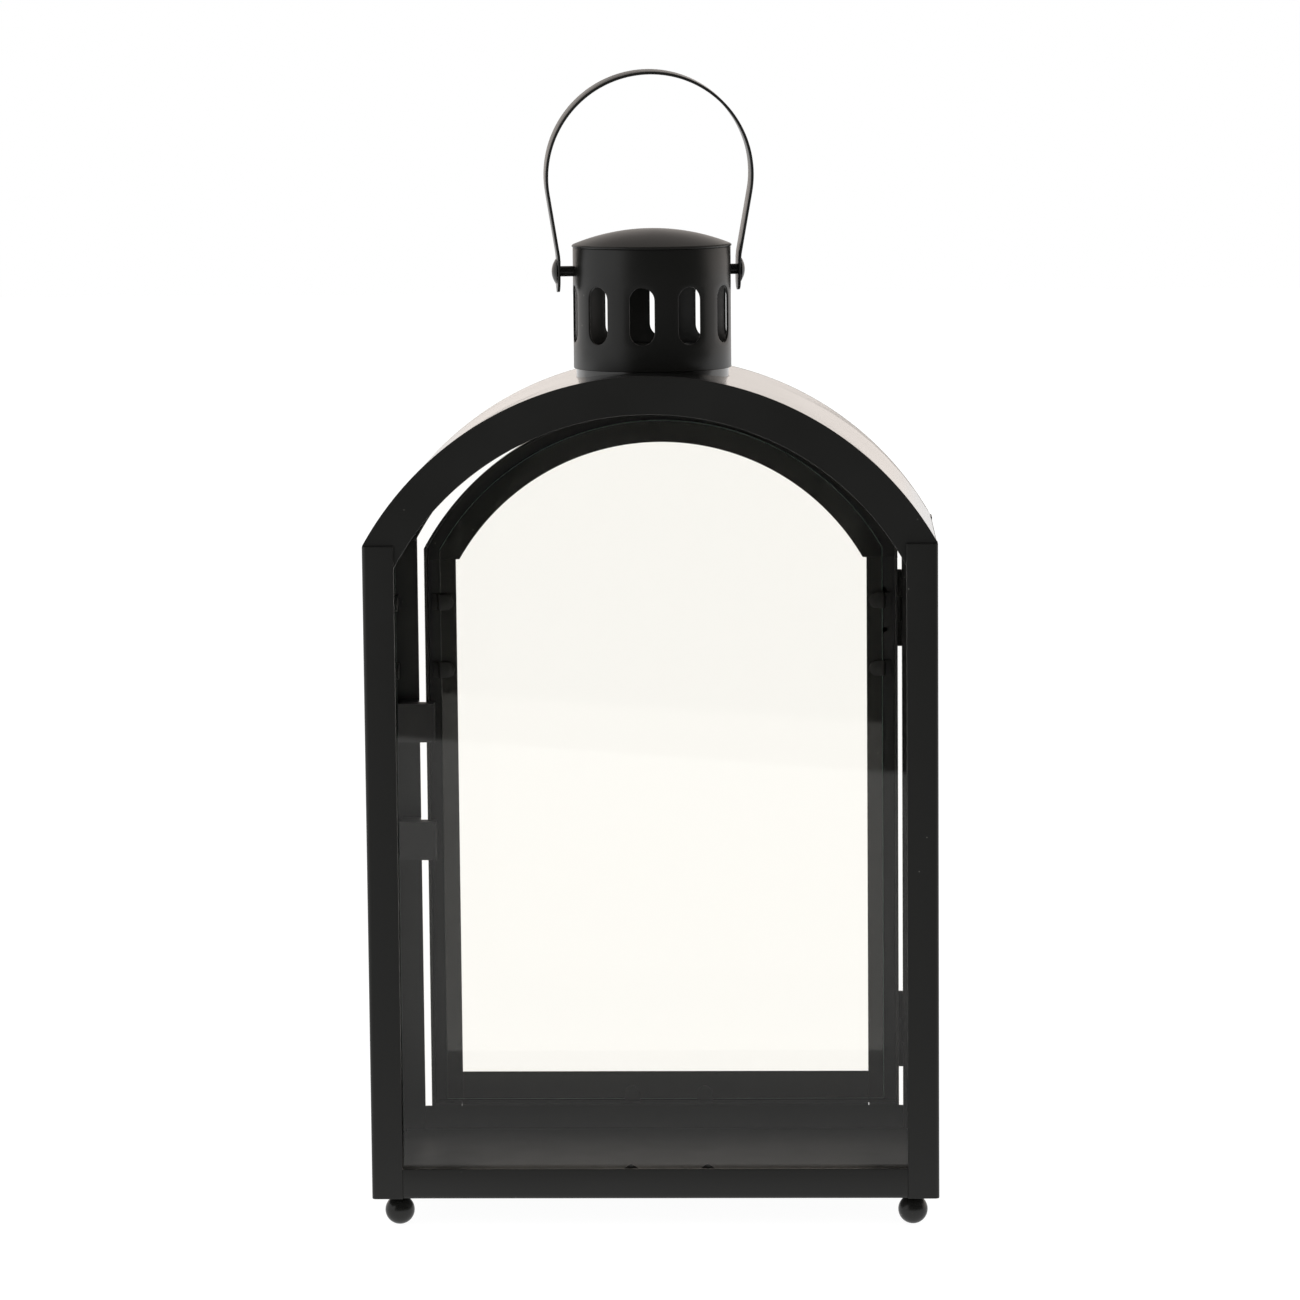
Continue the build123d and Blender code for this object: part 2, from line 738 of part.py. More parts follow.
def main():
    """Writes each node to its own STEP file."""
    os.makedirs("parts", exist_ok=True)
    for name, shape in assembly().items():
        solids = shape if isinstance(shape, list) else [shape]
        whole = Compound([solid for each in solids for solid in each.solids()])
        export_step(whole, f"parts/{name}.step")
    print(f"hinge axis x {hinge_x:.2f} y {hinge_y:.2f}, rivets z {pivot_z:.2f}")
    print(f"underside {under:.2f}, base {base_top:.2f}, eave {eave:.2f}, crown {crown:.2f}")


main()
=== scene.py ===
import json
import math

import bmesh
import bpy
from bpy.props import FloatProperty, IntProperty, PointerProperty, StringProperty
from mathutils import Matrix, Vector


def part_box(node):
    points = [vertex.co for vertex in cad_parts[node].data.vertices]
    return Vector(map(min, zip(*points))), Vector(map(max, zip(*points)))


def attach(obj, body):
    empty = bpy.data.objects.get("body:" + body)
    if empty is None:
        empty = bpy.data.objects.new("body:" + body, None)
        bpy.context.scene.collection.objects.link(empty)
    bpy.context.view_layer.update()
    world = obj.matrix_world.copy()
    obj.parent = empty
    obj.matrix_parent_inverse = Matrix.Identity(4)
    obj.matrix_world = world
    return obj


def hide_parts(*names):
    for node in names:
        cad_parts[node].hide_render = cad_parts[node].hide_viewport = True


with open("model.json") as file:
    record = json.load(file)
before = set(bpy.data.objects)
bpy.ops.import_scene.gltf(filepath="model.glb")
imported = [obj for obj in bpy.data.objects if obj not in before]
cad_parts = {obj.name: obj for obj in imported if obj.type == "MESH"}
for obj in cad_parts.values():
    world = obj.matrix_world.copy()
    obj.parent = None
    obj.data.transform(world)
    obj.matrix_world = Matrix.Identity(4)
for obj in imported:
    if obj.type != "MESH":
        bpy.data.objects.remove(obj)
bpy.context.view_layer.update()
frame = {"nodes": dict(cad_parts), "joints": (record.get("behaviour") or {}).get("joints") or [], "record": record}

bl_info = {
    "name": "Candle Lantern",
    "version": (1, 0, 0),
    "blender": (4, 5, 0),
    "location": "3D View > Sidebar > Lantern",
    "description": "Builds a black sheet-steel candle lantern around its engineering model",
    "category": "Add Mesh",
}

MM = 0.001
BODY_OF = {
    node: body
    for body, nodes in frame["record"]["behaviour"]["bodies"].items()
    for node in nodes
}
SIDES = (("left", -1), ("right", 1))
ENDS = (("front", -1), ("rear", 1))
ARCH_STEPS = 96


# ---- Settings ----------------------------------------------------------------------------------


def size(name, description, default_mm):
    """A length property with its default given in millimetres."""
    return FloatProperty(
        name=name, description=description, default=default_mm * MM, min=0.0, unit="LENGTH",
        precision=5,
    )


def degrees(name, description, default_degrees):
    """An angle property with its default given in degrees."""
    return FloatProperty(
        name=name, description=description, default=math.radians(default_degrees),
        subtype="ANGLE",
    )


def colour(name, description, default):
    """A colour property that holds an sRGB hex value."""
    return StringProperty(name=name, description=description, default=default, maxlen=7)


class LanternSizes(bpy.types.PropertyGroup):
    """Sizes of the sheet metal that the engineering model's boxes don't give."""

    steel: size("Frame sheet", "Thickness of the frame's folded angles", 1.2)
    door_steel: size("Door sheet", "Thickness of the door's folded angles", 1.0)
    roof_sheet: size("Roof sheet", "Thickness of the roof", 1.0)
    bend: size("Fold radius", "Outer radius of a folded corner", 1.5)
    door_bend: size("Door fold radius", "Outer radius of the door's folded corner", 1.2)
    edge: size("Edge radius", "Radius that paint and tumbling leave on a cut edge", 0.25)
    arch_band: size("Arch face", "Face width of the frame's arches", 13.4)
    door_arch_band: size("Door arch face", "Face width of the door's arch", 13.3)
    door_arch_radius: size("Door arch radius", "Outside radius of the door's arch", 98.8)
    arch_lap: size("Arch lap", "Length of arch hidden behind a post", 9.0)
    roof_step: size("Roof step", "How far the front arch stands proud of the roof", 0.4)
    lap_gap: size("Lap gap", "Gap between an arch's tips and the posts' side flanges", 0.2)
    slot_width: size("Slot width", "Width of a chimney slot", 9.0)
    slot_height: size("Slot height", "Height of a chimney slot", 20.2)
    slot_bottom: size("Slot bottom", "From the chimney's lower edge to the slots", 9.3)
    slot_turn: degrees("Slot turn", "Turn of the ring of slots", 12.4)
    slot_count: IntProperty(
        name="Slots", description="Number of slots round the chimney", default=10, min=3
    )
    chimney_wall: size("Chimney wall", "Thickness of the chimney's tube", 0.8)
    handle_thick: size("Handle thickness", "Thickness of the handle's strip", 1.0)
    handle_arc: size("Handle arc", "Radius of the strip's middle line over the top", 36.4)
    handle_flat: size("Handle end", "Upright length of the strip above its rivet", 5.0)
    rivet: size("Rivet", "Diameter of the handle's rivets", 3.7)
    pin: size("Hinge pin", "Diameter of the hinges' pins", 1.6)
    knuckle: size("Knuckle", "Diameter of the hinges' knuckles", 3.2)
    leaf: size("Hinge sheet", "Thickness of the hinges' leaves", 0.8)
    tab_sheet: size("Tab sheet", "Thickness of the glazing tabs", 0.8)
    tab_width: size("Tab width", "Width of the glazing tabs", 5.8)
    tab_foot: size("Tab foot", "Length of a tab's foot on the frame", 2.2)


class LanternColours(bpy.types.PropertyGroup):
    """Colours of the paints, the glass and the stage."""

    paint: colour("Enamel", "Black enamel on the frame and door", "#171715")
    chimney: colour("Chimney enamel", "Black enamel on the chimney and cap", "#141412")
    catch: colour("Catch", "Moulded plastic of the catches", "#1A1A1A")
    dust: colour("Dust", "Dust flecks lying on the paint", "#8C8A84")
    glass: colour("Glass", "Tint of the panes", "#FFFEFB")
    glass_edge: colour("Glass edge", "Colour of the panes' ground edges", "#7E9C90")
    floor: colour("Floor", "Paint of the floor, which also glows by itself", "#6A6A69")


class LanternStage(bpy.types.PropertyGroup):
    """The camera's place, turn and lens."""

    camera_x: size("Camera X", "How far the camera stands to the right", 59.2)
    camera_back: size("Camera distance", "How far the camera stands in front", 1764.3)
    camera_z: size("Camera height", "Height of the camera above the floor", 422.4)
    yaw: degrees("Yaw", "Camera's turn to the right", -1.9825)
    pitch: degrees("Pitch", "How far the camera looks down", 7.215)
    roll: degrees("Roll", "Camera's turn about its own line of sight", -0.53)
    lens: FloatProperty(name="Lens", description="Focal length", default=137.67, unit="CAMERA")


# ---- Shapes ------------------------------------------------------------------------------------


def rounded(corners, steps=5):
    """A closed flat outline from (x, y, radius) corners, each turned by an arc."""
    outline = []
    for index, (x, y, radius) in enumerate(corners):
        here = Vector((x, y))
        if radius == 0:
            outline.append(here)
            continue
        into = (Vector(corners[index - 1][:2]) - here).normalized()
        out = (Vector(corners[(index + 1) % len(corners)][:2]) - here).normalized()
        half = into.angle(out) / 2
        centre = here + (into + out).normalized() * radius / math.sin(half)
        start = here + into * radius / math.tan(half) - centre
        end = here + out * radius / math.tan(half) - centre
        first = math.atan2(start.y, start.x)
        turn = (math.atan2(end.y, end.x) - first + math.pi) % (2 * math.pi) - math.pi
        for step in range(steps + 1):
            angle = first + turn * step / steps
            outline.append(centre + Vector((math.cos(angle), math.sin(angle))) * radius)
    return outline


def arc(centre, radius, start, end, steps):
    """Points of a flat arc between two angles."""
    angles = [start + (end - start) * step / steps for step in range(steps + 1)]
    x, y = centre
    return [Vector((x + radius * math.cos(a), y + radius * math.sin(a))) for a in angles]


def loft(rings, closed=False):
    """Vertices and faces through rings of points, capped at both ends unless closed."""
    count = len(rings[0])
    vertices = [Vector(point) for ring in rings for point in ring]
    faces = []
    for index in range(len(rings) if closed else len(rings) - 1):
        near = index * count
        far = (index + 1) % len(rings) * count
        for k in range(count):
            m = (k + 1) % count
            faces.append((near + k, near + m, far + m, far + k))
    if not closed:
        faces.append(tuple(range(count - 1, -1, -1)))
        faces.append(tuple(range(len(vertices) - count, len(vertices))))
    return vertices, faces


def lathe(profile, steps=96):
    """A closed profile of (radius, height) points turned about Z."""
    rings = []
    for index in range(steps):
        angle = 2 * math.pi * index / steps
        rings.append([(r * math.cos(angle), r * math.sin(angle), h) for r, h in profile])
    return loft(rings, closed=True)


def prism(outline, low, high):
    """An outline in X and Z as a slab between two Y values."""
    return loft([[(p[0], y, p[1]) for p in outline] for y in (low, high)])


def block(low, high):
    """A box between two corners."""
    outline = [(low[0], low[2]), (high[0], low[2]), (high[0], high[2]), (low[0], high[2])]
    return prism(outline, low[1], high[1])


def moved(shape, matrix):
    """A shape carried by a matrix."""
    vertices, faces = shape
    return [matrix @ Vector(v) for v in vertices], faces


def joined(shapes):
    """Several shapes as one."""
    vertices, faces = [], []
    for more_vertices, more_faces in shapes:
        start = len(vertices)
        vertices.extend(more_vertices)
        faces.extend(tuple(start + k for k in face) for face in more_faces)
    return vertices, faces


def along(axis, origin):
    """The matrix that lays a shape's Z along a world axis, at an origin."""
    turn = Vector((0, 0, 1)).rotation_difference(Vector(axis)).to_matrix().to_4x4()
    return Matrix.Translation(origin) @ turn


def build(name, shape, finish, node, bevel=0.0, smooth=math.radians(32)):
    """Makes a piece from a shape: a clean mesh with soft edges that stands for a CAD node."""
    mesh = bpy.data.meshes.new(name)
    mesh.from_pydata([tuple(v) for v in shape[0]], [], shape[1])
    clean = bmesh.new()
    clean.from_mesh(mesh)
    bmesh.ops.remove_doubles(clean, verts=clean.verts, dist=1e-6)
    bmesh.ops.dissolve_degenerate(clean, edges=clean.edges, dist=1e-7)
    bmesh.ops.recalc_face_normals(clean, faces=clean.faces)
    clean.to_mesh(mesh)
    clean.free()
    mesh.shade_smooth()
    mesh.set_sharp_from_angle(angle=smooth)
    mesh.materials.append(finish)
    piece = bpy.data.objects.new(name, mesh)
    bpy.context.scene.collection.objects.link(piece)
    if bevel:
        soften(piece, bevel)
    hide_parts(node)
    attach(piece, BODY_OF[node])
    return piece


def soften(piece, radius):
    """Rounds a piece's sharp edges."""
    rounding = piece.modifiers.new("soft_edges", "BEVEL")
    rounding.width = radius
    rounding.segments = 3
    rounding.limit_method = "ANGLE"
    rounding.angle_limit = math.radians(40)
    rounding.harden_normals = True


def angle_profile(wide, deep, sheet, bend, edge):
    """A folded angle's section: a wide flange along X and a deep one along Y from one corner."""
    inner = max(bend - sheet, edge)
    return rounded(
        [
            (0, 0, bend),
            (wide, 0, edge),
            (wide, sheet, edge),
            (sheet, sheet, inner),
            (sheet, deep, edge),
            (0, deep, edge),
        ]
    )


def angle_length(corner, wide_axis, deep_axis, length, profile):
    """A folded angle from its corner's start, along a length vector."""
    corner, length = Vector(corner), Vector(length)
    wide_axis, deep_axis = Vector(wide_axis), Vector(deep_axis)
    start = [corner + wide_axis * p[0] + deep_axis * p[1] for p in profile]
    return loft([start, [p + length for p in start]])


# ---- Materials ---------------------------------------------------------------------------------


def linear(text):
    """An sRGB hex value as linear colour with alpha."""
    channels = [int(text[place : place + 2], 16) / 255 for place in (1, 3, 5)]
    values = [c / 12.92 if c <= 0.04045 else ((c + 0.055) / 1.055) ** 2.4 for c in channels]
    return (*values, 1.0)


def add(tree, kind, inputs=None, **settings):
    """Adds a node with its settings; inputs holds values and other nodes' sockets by name."""
    node = tree.nodes.new(kind)
    for name, value in settings.items():
        setattr(node, name, value)
    for name, value in (inputs or {}).items():
        if isinstance(value, bpy.types.NodeSocket):
            tree.links.new(value, node.inputs[name])
        else:
            node.inputs[name].default_value = value
    return node


def new_material(name):
    """An empty node material, and its tree."""
    material = bpy.data.materials.new(name)
    material.use_nodes = True
    material.node_tree.nodes.clear()
    return material, material.node_tree


def sprayed_enamel(name, base, dust, roughness, fleck_mm, coat=0.0):
    """Satin black enamel, sprayed on steel and baked. Slow changes of gloss show where the spray
    overlapped, and a few dust flecks lie on it. A clear coat makes it shine where it is seen at
    a low angle."""
    material, tree = new_material(name)
    place = add(tree, "ShaderNodeTexCoord").outputs["Object"]
    overlap = add(
        tree, "ShaderNodeTexNoise", {"Vector": place, "Scale": 1 / (30 * MM), "Detail": 3.0}
    )
    gloss = add(
        tree,
        "ShaderNodeMapRange",
        {"Value": overlap.outputs["Fac"], "From Min": 0.3, "From Max": 0.7,
         "To Min": roughness - 0.04, "To Max": roughness + 0.05},
    )
    # Flecks are drawn coarser than real dust so that the render shows them.
    flecks = add(
        tree, "ShaderNodeTexVoronoi",
        {"Vector": place, "Scale": 1 / (fleck_mm * MM), "Randomness": 1.0},
    )
    speck = add(
        tree,
        "ShaderNodeMapRange",
        {"Value": flecks.outputs["Distance"], "From Min": 0.018, "From Max": 0.034,
         "To Min": 0.55, "To Max": 0.0},
    )
    tint = add(
        tree,
        "ShaderNodeMix",
        {"Factor": speck.outputs["Result"]},
        data_type="RGBA",
    )
    tint.inputs[6].default_value = linear(base)
    tint.inputs[7].default_value = linear(dust)
    shader = add(
        tree,
        "ShaderNodeBsdfPrincipled",
        {"Base Color": tint.outputs[2], "Roughness": gloss.outputs["Result"],
         "IOR": 1.5, "Coat Weight": coat,
         "Coat Roughness": 0.12},
    )
    add(tree, "ShaderNodeOutputMaterial", {"Surface": shader.outputs["BSDF"]})
    return material


def moulded_plastic(name, base):
    """Black ABS with a fine spark-eroded texture, which gives the catches a dull, even face."""
    material, tree = new_material(name)
    place = add(tree, "ShaderNodeTexCoord").outputs["Object"]
    grain = add(
        tree, "ShaderNodeTexNoise", {"Vector": place, "Scale": 1 / (0.3 * MM), "Detail": 2.0}
    )
    relief = add(
        tree,
        "ShaderNodeBump",
        {"Height": grain.outputs["Fac"], "Strength": 0.4, "Distance": 0.02 * MM},
    )
    shader = add(
        tree,
        "ShaderNodeBsdfPrincipled",
        {"Base Color": linear(base), "Roughness": 0.55, "IOR": 1.53,
         "Normal": relief.outputs["Normal"]},
    )
    add(tree, "ShaderNodeOutputMaterial", {"Surface": shader.outputs["BSDF"]})
    return material


def float_glass(name, tint, roughness, clear):
    """Clear float glass: flat and polished, so it mirrors what stands in front of it. Its ground
    edge is the same glass with a rough surface, which looks pale green."""
    material, tree = new_material(name)
    shader = add(
        tree,
        "ShaderNodeBsdfPrincipled",
        {"Base Color": linear(tint), "Roughness": roughness, "IOR": 1.5,
         "Transmission Weight": clear},
    )
    add(tree, "ShaderNodeOutputMaterial", {"Surface": shader.outputs["BSDF"]})
    return material


def make_materials(scene):
    """Every finish of the lantern, by name."""
    colours = scene.lantern_colours
    return {
        "frame": sprayed_enamel("enamel_frame", colours.paint, colours.dust, 0.36, 7.0),
        "door": sprayed_enamel("enamel_door", colours.paint, colours.dust, 0.40, 9.0),
        "roof": sprayed_enamel("enamel_roof", colours.paint, colours.dust, 0.34, 8.0, 1.0),
        "plate": sprayed_enamel("enamel_plate", colours.paint, colours.dust, 0.42, 5.0),
        "chimney": sprayed_enamel("enamel_chimney", colours.chimney, colours.dust, 0.33, 9.0),
        "handle": sprayed_enamel("enamel_handle", colours.paint, colours.dust, 0.30, 9.0),
        "ball": sprayed_enamel("enamel_ball", colours.paint, colours.dust, 0.24, 9.0),
        "catch": moulded_plastic("moulded_abs", colours.catch),
        "glass": float_glass("float_glass", colours.glass, 0.0, 1.0),
        "glass_edge": float_glass("ground_glass_edge", colours.glass_edge, 0.35, 0.55),
    }


FINISHES = {}


# ---- Frame pieces ------------------------------------------------------------------------------


class LANTERN_OT_posts(bpy.types.Operator):
    """Builds the four corner posts as folded angles"""

    bl_idname = "lantern.posts"
    bl_label = "Corner posts"

    def execute(self, context):
        sizes = context.scene.lantern_sizes
        for end_name, end in ENDS:
            for side_name, side in SIDES:
                node = f"post_{end_name}_{side_name}"
                low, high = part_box(node)
                x = high.x if side > 0 else low.x
                y = high.y if end > 0 else low.y
                profile = angle_profile(
                    high.x - low.x, high.y - low.y, sizes.steel, sizes.bend, sizes.edge
                )
                shape = angle_length(
                    (x, y, low.z), (-side, 0, 0), (0, -end, 0), (0, 0, high.z - low.z), profile
                )
                build(f"Post_{end_name}_{side_name}", shape, FINISHES["frame"], node,
                      sizes.edge)
        return {"FINISHED"}


class LANTERN_OT_rails(bpy.types.Operator):
    """Builds the bottom rails and the eave rails as folded angles between the posts"""

    bl_idname = "lantern.rails"
    bl_label = "Rails"

    def execute(self, context):
        sizes = context.scene.lantern_sizes
        for end_name, end in ENDS:
            node = f"rail_{end_name}"
            low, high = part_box(node)
            y = high.y if end > 0 else low.y
            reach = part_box("post_front_right")[0].x
            profile = angle_profile(
                high.y - low.y, high.z - low.z, sizes.steel, sizes.bend, sizes.edge
            )
            rail = angle_length(
                (-reach, y, low.z), (0, -end, 0), (0, 0, 1), (2 * reach, 0, 0), profile
            )
            ears = []
            for side in (-1, 1):
                inner, outer = sorted((side * reach, side * high.x))
                near, far = sorted((y - end * sizes.steel, y - end * (high.y - low.y)))
                ears.append(block((inner, near, low.z), (outer, far, low.z + sizes.steel)))
            build(f"Rail_{end_name}", joined([rail, *ears]), FINISHES["frame"], node,
                  sizes.edge)
        for side_name, side in SIDES:
            low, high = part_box(f"rail_{side_name}")
            x = high.x if side > 0 else low.x
            profile = angle_profile(
                high.x - low.x, high.z - low.z, sizes.steel, sizes.bend, sizes.edge
            )
            length = (0, high.y - low.y, 0)
            rail = angle_length((x, low.y, low.z), (-side, 0, 0), (0, 0, 1), length, profile)
            build(f"Rail_{side_name}", rail, FINISHES["frame"], f"rail_{side_name}",
                  sizes.edge)
            low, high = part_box(f"eave_{side_name}")
            eave = angle_length((x, low.y, high.z), (-side, 0, 0), (0, 0, -1), length, profile)
            build(f"Eave_{side_name}", eave, FINISHES["frame"], f"eave_{side_name}",
                  sizes.edge)
        return {"FINISHED"}


def frame_arch_circle(sizes):
    """The frame arches' centre height, outer radius, half width and eave height."""
    low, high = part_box("arch_front")
    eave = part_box("post_front_left")[1].z
    rise = high.z - eave
    radius = (high.x**2 + rise**2) / (2 * rise)
    return high.z - radius, radius, high.x, eave


class LANTERN_OT_arches(bpy.types.Operator):
    """Builds the front and rear arches with the flange that the roof lies on"""

    bl_idname = "lantern.arches"
    bl_label = "Arches"

    def execute(self, context):
        sizes = context.scene.lantern_sizes
        centre, outer, half, eave = frame_arch_circle(sizes)
        inner = outer - sizes.arch_band
        tip_x = half - sizes.steel - sizes.lap_gap
        tip_z = eave - sizes.arch_lap
        inner_angle = math.asin((tip_z - centre) / inner)
        tips = [Vector((-tip_x, eave)), Vector((-tip_x, tip_z))]
        tips += arc((0, centre), inner, math.pi - inner_angle, inner_angle, ARCH_STEPS)
        tips += [Vector((tip_x, tip_z)), Vector((tip_x, eave))]
        seat_outer = outer - sizes.roof_step - sizes.roof_sheet
        seat_inner = seat_outer - sizes.steel
        seat_angle = math.asin((eave - centre) / seat_outer)
        seat = arc((0, centre), seat_outer, seat_angle, math.pi - seat_angle, ARCH_STEPS)
        seat += arc((0, centre), seat_inner, math.pi - seat_angle, seat_angle, ARCH_STEPS)
        for end_name, end in ENDS:
            node = f"arch_{end_name}"
            low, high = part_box(node)
            face, inside = (high.y, low.y) if end > 0 else (low.y, high.y)
            back = face - end * sizes.steel
            # The rear arch is flush with the roof.
            edge = outer if end < 0 else outer - sizes.roof_step
            turn = math.asin((eave - centre) / edge)
            outline = arc((0, centre), edge, turn, math.pi - turn, ARCH_STEPS) + tips
            band = prism(outline, *sorted((face, back)))
            flange = prism(seat, *sorted((back, inside)))
            build(f"Arch_{end_name}", joined([band, flange]), FINISHES["frame"], node,
                  sizes.edge)
        return {"FINISHED"}


def holed_sheet(half_x, half_y, hole, steps_x, steps_y, rings):
    """Loops of flat points from a rectangle's edge in to a round hole at its middle."""
    edge = []
    for k in range(steps_x):
        edge.append(Vector((-half_x + 2 * half_x * k / steps_x, -half_y)))
    for k in range(steps_y):
        edge.append(Vector((half_x, -half_y + 2 * half_y * k / steps_y)))
    for k in range(steps_x):
        edge.append(Vector((half_x - 2 * half_x * k / steps_x, half_y)))
    for k in range(steps_y):
        edge.append(Vector((-half_x, half_y - 2 * half_y * k / steps_y)))
    loops = []
    for ring in range(rings + 1):
        share = ring / rings
        loops.append([p.lerp(p.normalized() * hole, share) for p in edge])
    return loops


class LANTERN_OT_roof(bpy.types.Operator):
    """Builds the barrel roof with the hole that the collar stands in"""

    bl_idname = "lantern.roof"
    bl_label = "Roof"

    def execute(self, context):
        sizes = context.scene.lantern_sizes
        centre, outer, _half, _eave = frame_arch_circle(sizes)
        outer -= sizes.roof_step
        inner = outer - sizes.roof_sheet
        low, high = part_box("roof")
        collar_gap = 0.1 * MM
        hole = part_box("collar")[1].x + collar_gap
        loops = holed_sheet(high.x, high.y, hole, 72, 24, 14)

        def on_barrel(loop, radius, shrink):
            """A flat loop bent over a barrel, pulled in to stay on its own radius at the eaves."""
            return [
                Vector((p.x * shrink, p.y, centre + math.sqrt(radius**2 - (p.x * shrink) ** 2)))
                for p in loop
            ]

        shrink = inner / outer
        rings = [on_barrel(loop, outer, 1.0) for loop in loops]
        rings += [on_barrel(loop, inner, shrink) for loop in reversed(loops)]
        build("Roof", loft(rings, closed=True), FINISHES["roof"], "roof",
              sizes.edge)
        return {"FINISHED"}


class LANTERN_OT_base_plate(bpy.types.Operator):
    """Finishes the base plate: its engineering shape stays, with soft edges"""

    bl_idname = "lantern.base_plate"
    bl_label = "Base plate"

    def execute(self, context):
        plate = frame["nodes"]["base_plate"]
        plate.data.materials.clear()
        plate.data.materials.append(FINISHES["plate"])
        soften(plate, context.scene.lantern_sizes.edge)
        return {"FINISHED"}


class LANTERN_OT_feet(bpy.types.Operator):
    """Turns the four ball feet, each with a waisted neck"""

    bl_idname = "lantern.feet"
    bl_label = "Ball feet"

    def execute(self, context):
        for end_name, _end in ENDS:
            for side_name, _side in SIDES:
                node = f"foot_{end_name}_{side_name}"
                low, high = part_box(node)
                radius = (high.y - low.y) / 2
                ball = arc((0, radius), radius, -math.pi / 2, math.radians(58), 40)
                neck = [
                    Vector((0.52 * radius, high.z - 0.12 * radius)),
                    Vector((0.56 * radius, high.z)),
                    Vector((0, high.z)),
                ]
                shape = lathe([(p.x, p.y) for p in ball + neck], 64)
                middle = (low + high) / 2
                shape = moved(shape, Matrix.Translation((middle.x, middle.y, low.z)))
                build(f"Foot_{end_name}_{side_name}", shape, FINISHES["ball"], node)
        return {"FINISHED"}


# ---- Chimney, cap and handle -------------------------------------------------------------------


def obround_point(direction, half_width, half_height):
    """Where a ray from a round-ended slot's middle meets its edge."""
    straight = half_height - half_width
    if abs(direction.x) > 1e-9:
        rise = direction.y * half_width / abs(direction.x)
        if abs(rise) <= straight:
            return Vector((math.copysign(half_width, direction.x), rise))
    centre = Vector((0, math.copysign(straight, direction.y)))
    reach = direction.dot(centre)
    reach += math.sqrt(reach**2 - centre.length_squared + half_width**2)
    return direction * reach


def slot_bay(pitch, height, sizes):
    """One bay of the chimney's wall, flat: loops of (along, up, depth) from its edge in through
    a round-ended slot and back out on the inner side."""
    steps_across, steps_up = 12, 14
    corner = Vector((pitch / 2, height / 2))
    edge = [Vector((-corner.x + pitch * k / steps_across, -corner.y)) for k in range(steps_across)]
    edge += [Vector((corner.x, -corner.y + height * k / steps_up)) for k in range(steps_up)]
    edge += [Vector((corner.x - pitch * k / steps_across, corner.y)) for k in range(steps_across)]
    edge += [Vector((-corner.x, corner.y - height * k / steps_up)) for k in range(steps_up)]
    soft = sizes.edge

    def slot(grow):
        half_width = sizes.slot_width / 2 + grow
        half_height = sizes.slot_height / 2 + grow
        return [obround_point(p.normalized(), half_width, half_height) for p in edge]

    def level(loop, depth):
        return [(p.x, p.y, depth) for p in loop]

    wide = slot(soft)
    middle = [p.lerp(q, 0.5) for p, q in zip(edge, wide)]
    loops = [level(edge, 0), level(middle, 0), level(wide, 0)]
    for step in (1, 2, 3):
        turn = math.pi / 2 * step / 3
        loops.append(level(slot(soft * (1 - math.sin(turn))), -soft * (1 - math.cos(turn))))
    deep = sizes.chimney_wall
    for step in (3, 2, 1):
        turn = math.pi / 2 * step / 3
        loops.append(
            level(slot(soft * (1 - math.sin(turn))), -deep + soft * (1 - math.cos(turn)))
        )
    loops += [level(wide, -deep), level(middle, -deep), level(edge, -deep)]
    return loops


class LANTERN_OT_chimney(bpy.types.Operator):
    """Builds the chimney's slotted tube with soft punched edges"""

    bl_idname = "lantern.chimney"
    bl_label = "Chimney"

    def execute(self, context):
        sizes = context.scene.lantern_sizes
        low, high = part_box("chimney")
        radius = high.x
        count = sizes.slot_count
        pitch = 2 * math.pi * radius / count
        margin = 3 * MM
        band = sizes.slot_height + 2 * margin
        middle = low.z + sizes.slot_bottom + sizes.slot_height / 2

        def wrap(point, turn):
            """A flat (along, up, depth) point on the tube."""
            angle = turn + point[0] / radius
            reach = radius + point[2]
            return Vector((reach * math.cos(angle), reach * math.sin(angle), point[1]))

        bay = slot_bay(pitch, band, sizes)
        shapes = []
        for index in range(count):
            turn = sizes.slot_turn + 2 * math.pi * index / count
            rings = [[wrap((u, v + middle, d), turn) for u, v, d in loop] for loop in bay]
            vertices, faces = loft(rings)
            shapes.append((vertices, faces[:-2]))
        soft, wall = sizes.edge, sizes.chimney_wall
        for start, end in ((middle + band / 2, high.z), (middle - band / 2, low.z)):
            toward = 1 if end > start else -1
            lip = [(0, start), (0, end - toward * soft), (-soft * 0.3, end - toward * soft * 0.3),
                   (-soft, end), (-wall + soft, end), (-wall, end - toward * soft), (-wall, start)]
            steps = 12 * count
            rings = []
            for step in range(steps):
                angle = sizes.slot_turn + 2 * math.pi * (step / steps + 0.5 / count)
                rings.append([wrap((0, z, d), angle) for d, z in lip])
            vertices, faces = loft(rings, closed=True)
            last = len(lip) - 1
            faces = [face for k, face in enumerate(faces) if k % len(lip) != last]
            shapes.append((vertices, faces))
        build("Chimney", joined(shapes), FINISHES["chimney"], "chimney",
              smooth=math.radians(50))
        return {"FINISHED"}


class LANTERN_OT_collar(bpy.types.Operator):
    """Turns the collar between the roof and the chimney, with softly rounded edges"""

    bl_idname = "lantern.collar"
    bl_label = "Collar"

    def execute(self, context):
        low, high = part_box("collar")
        wall = context.scene.lantern_sizes.chimney_wall
        outer, inner = high.x, high.x - wall
        profile = rounded(
            [(outer, low.z, 0.3 * MM), (outer, high.z, 0.3 * MM), (inner, high.z, 0.3 * MM),
             (inner, low.z, 0.3 * MM)]
        )
        build("Collar", lathe(profile, 120), FINISHES["roof"], "collar")
        return {"FINISHED"}


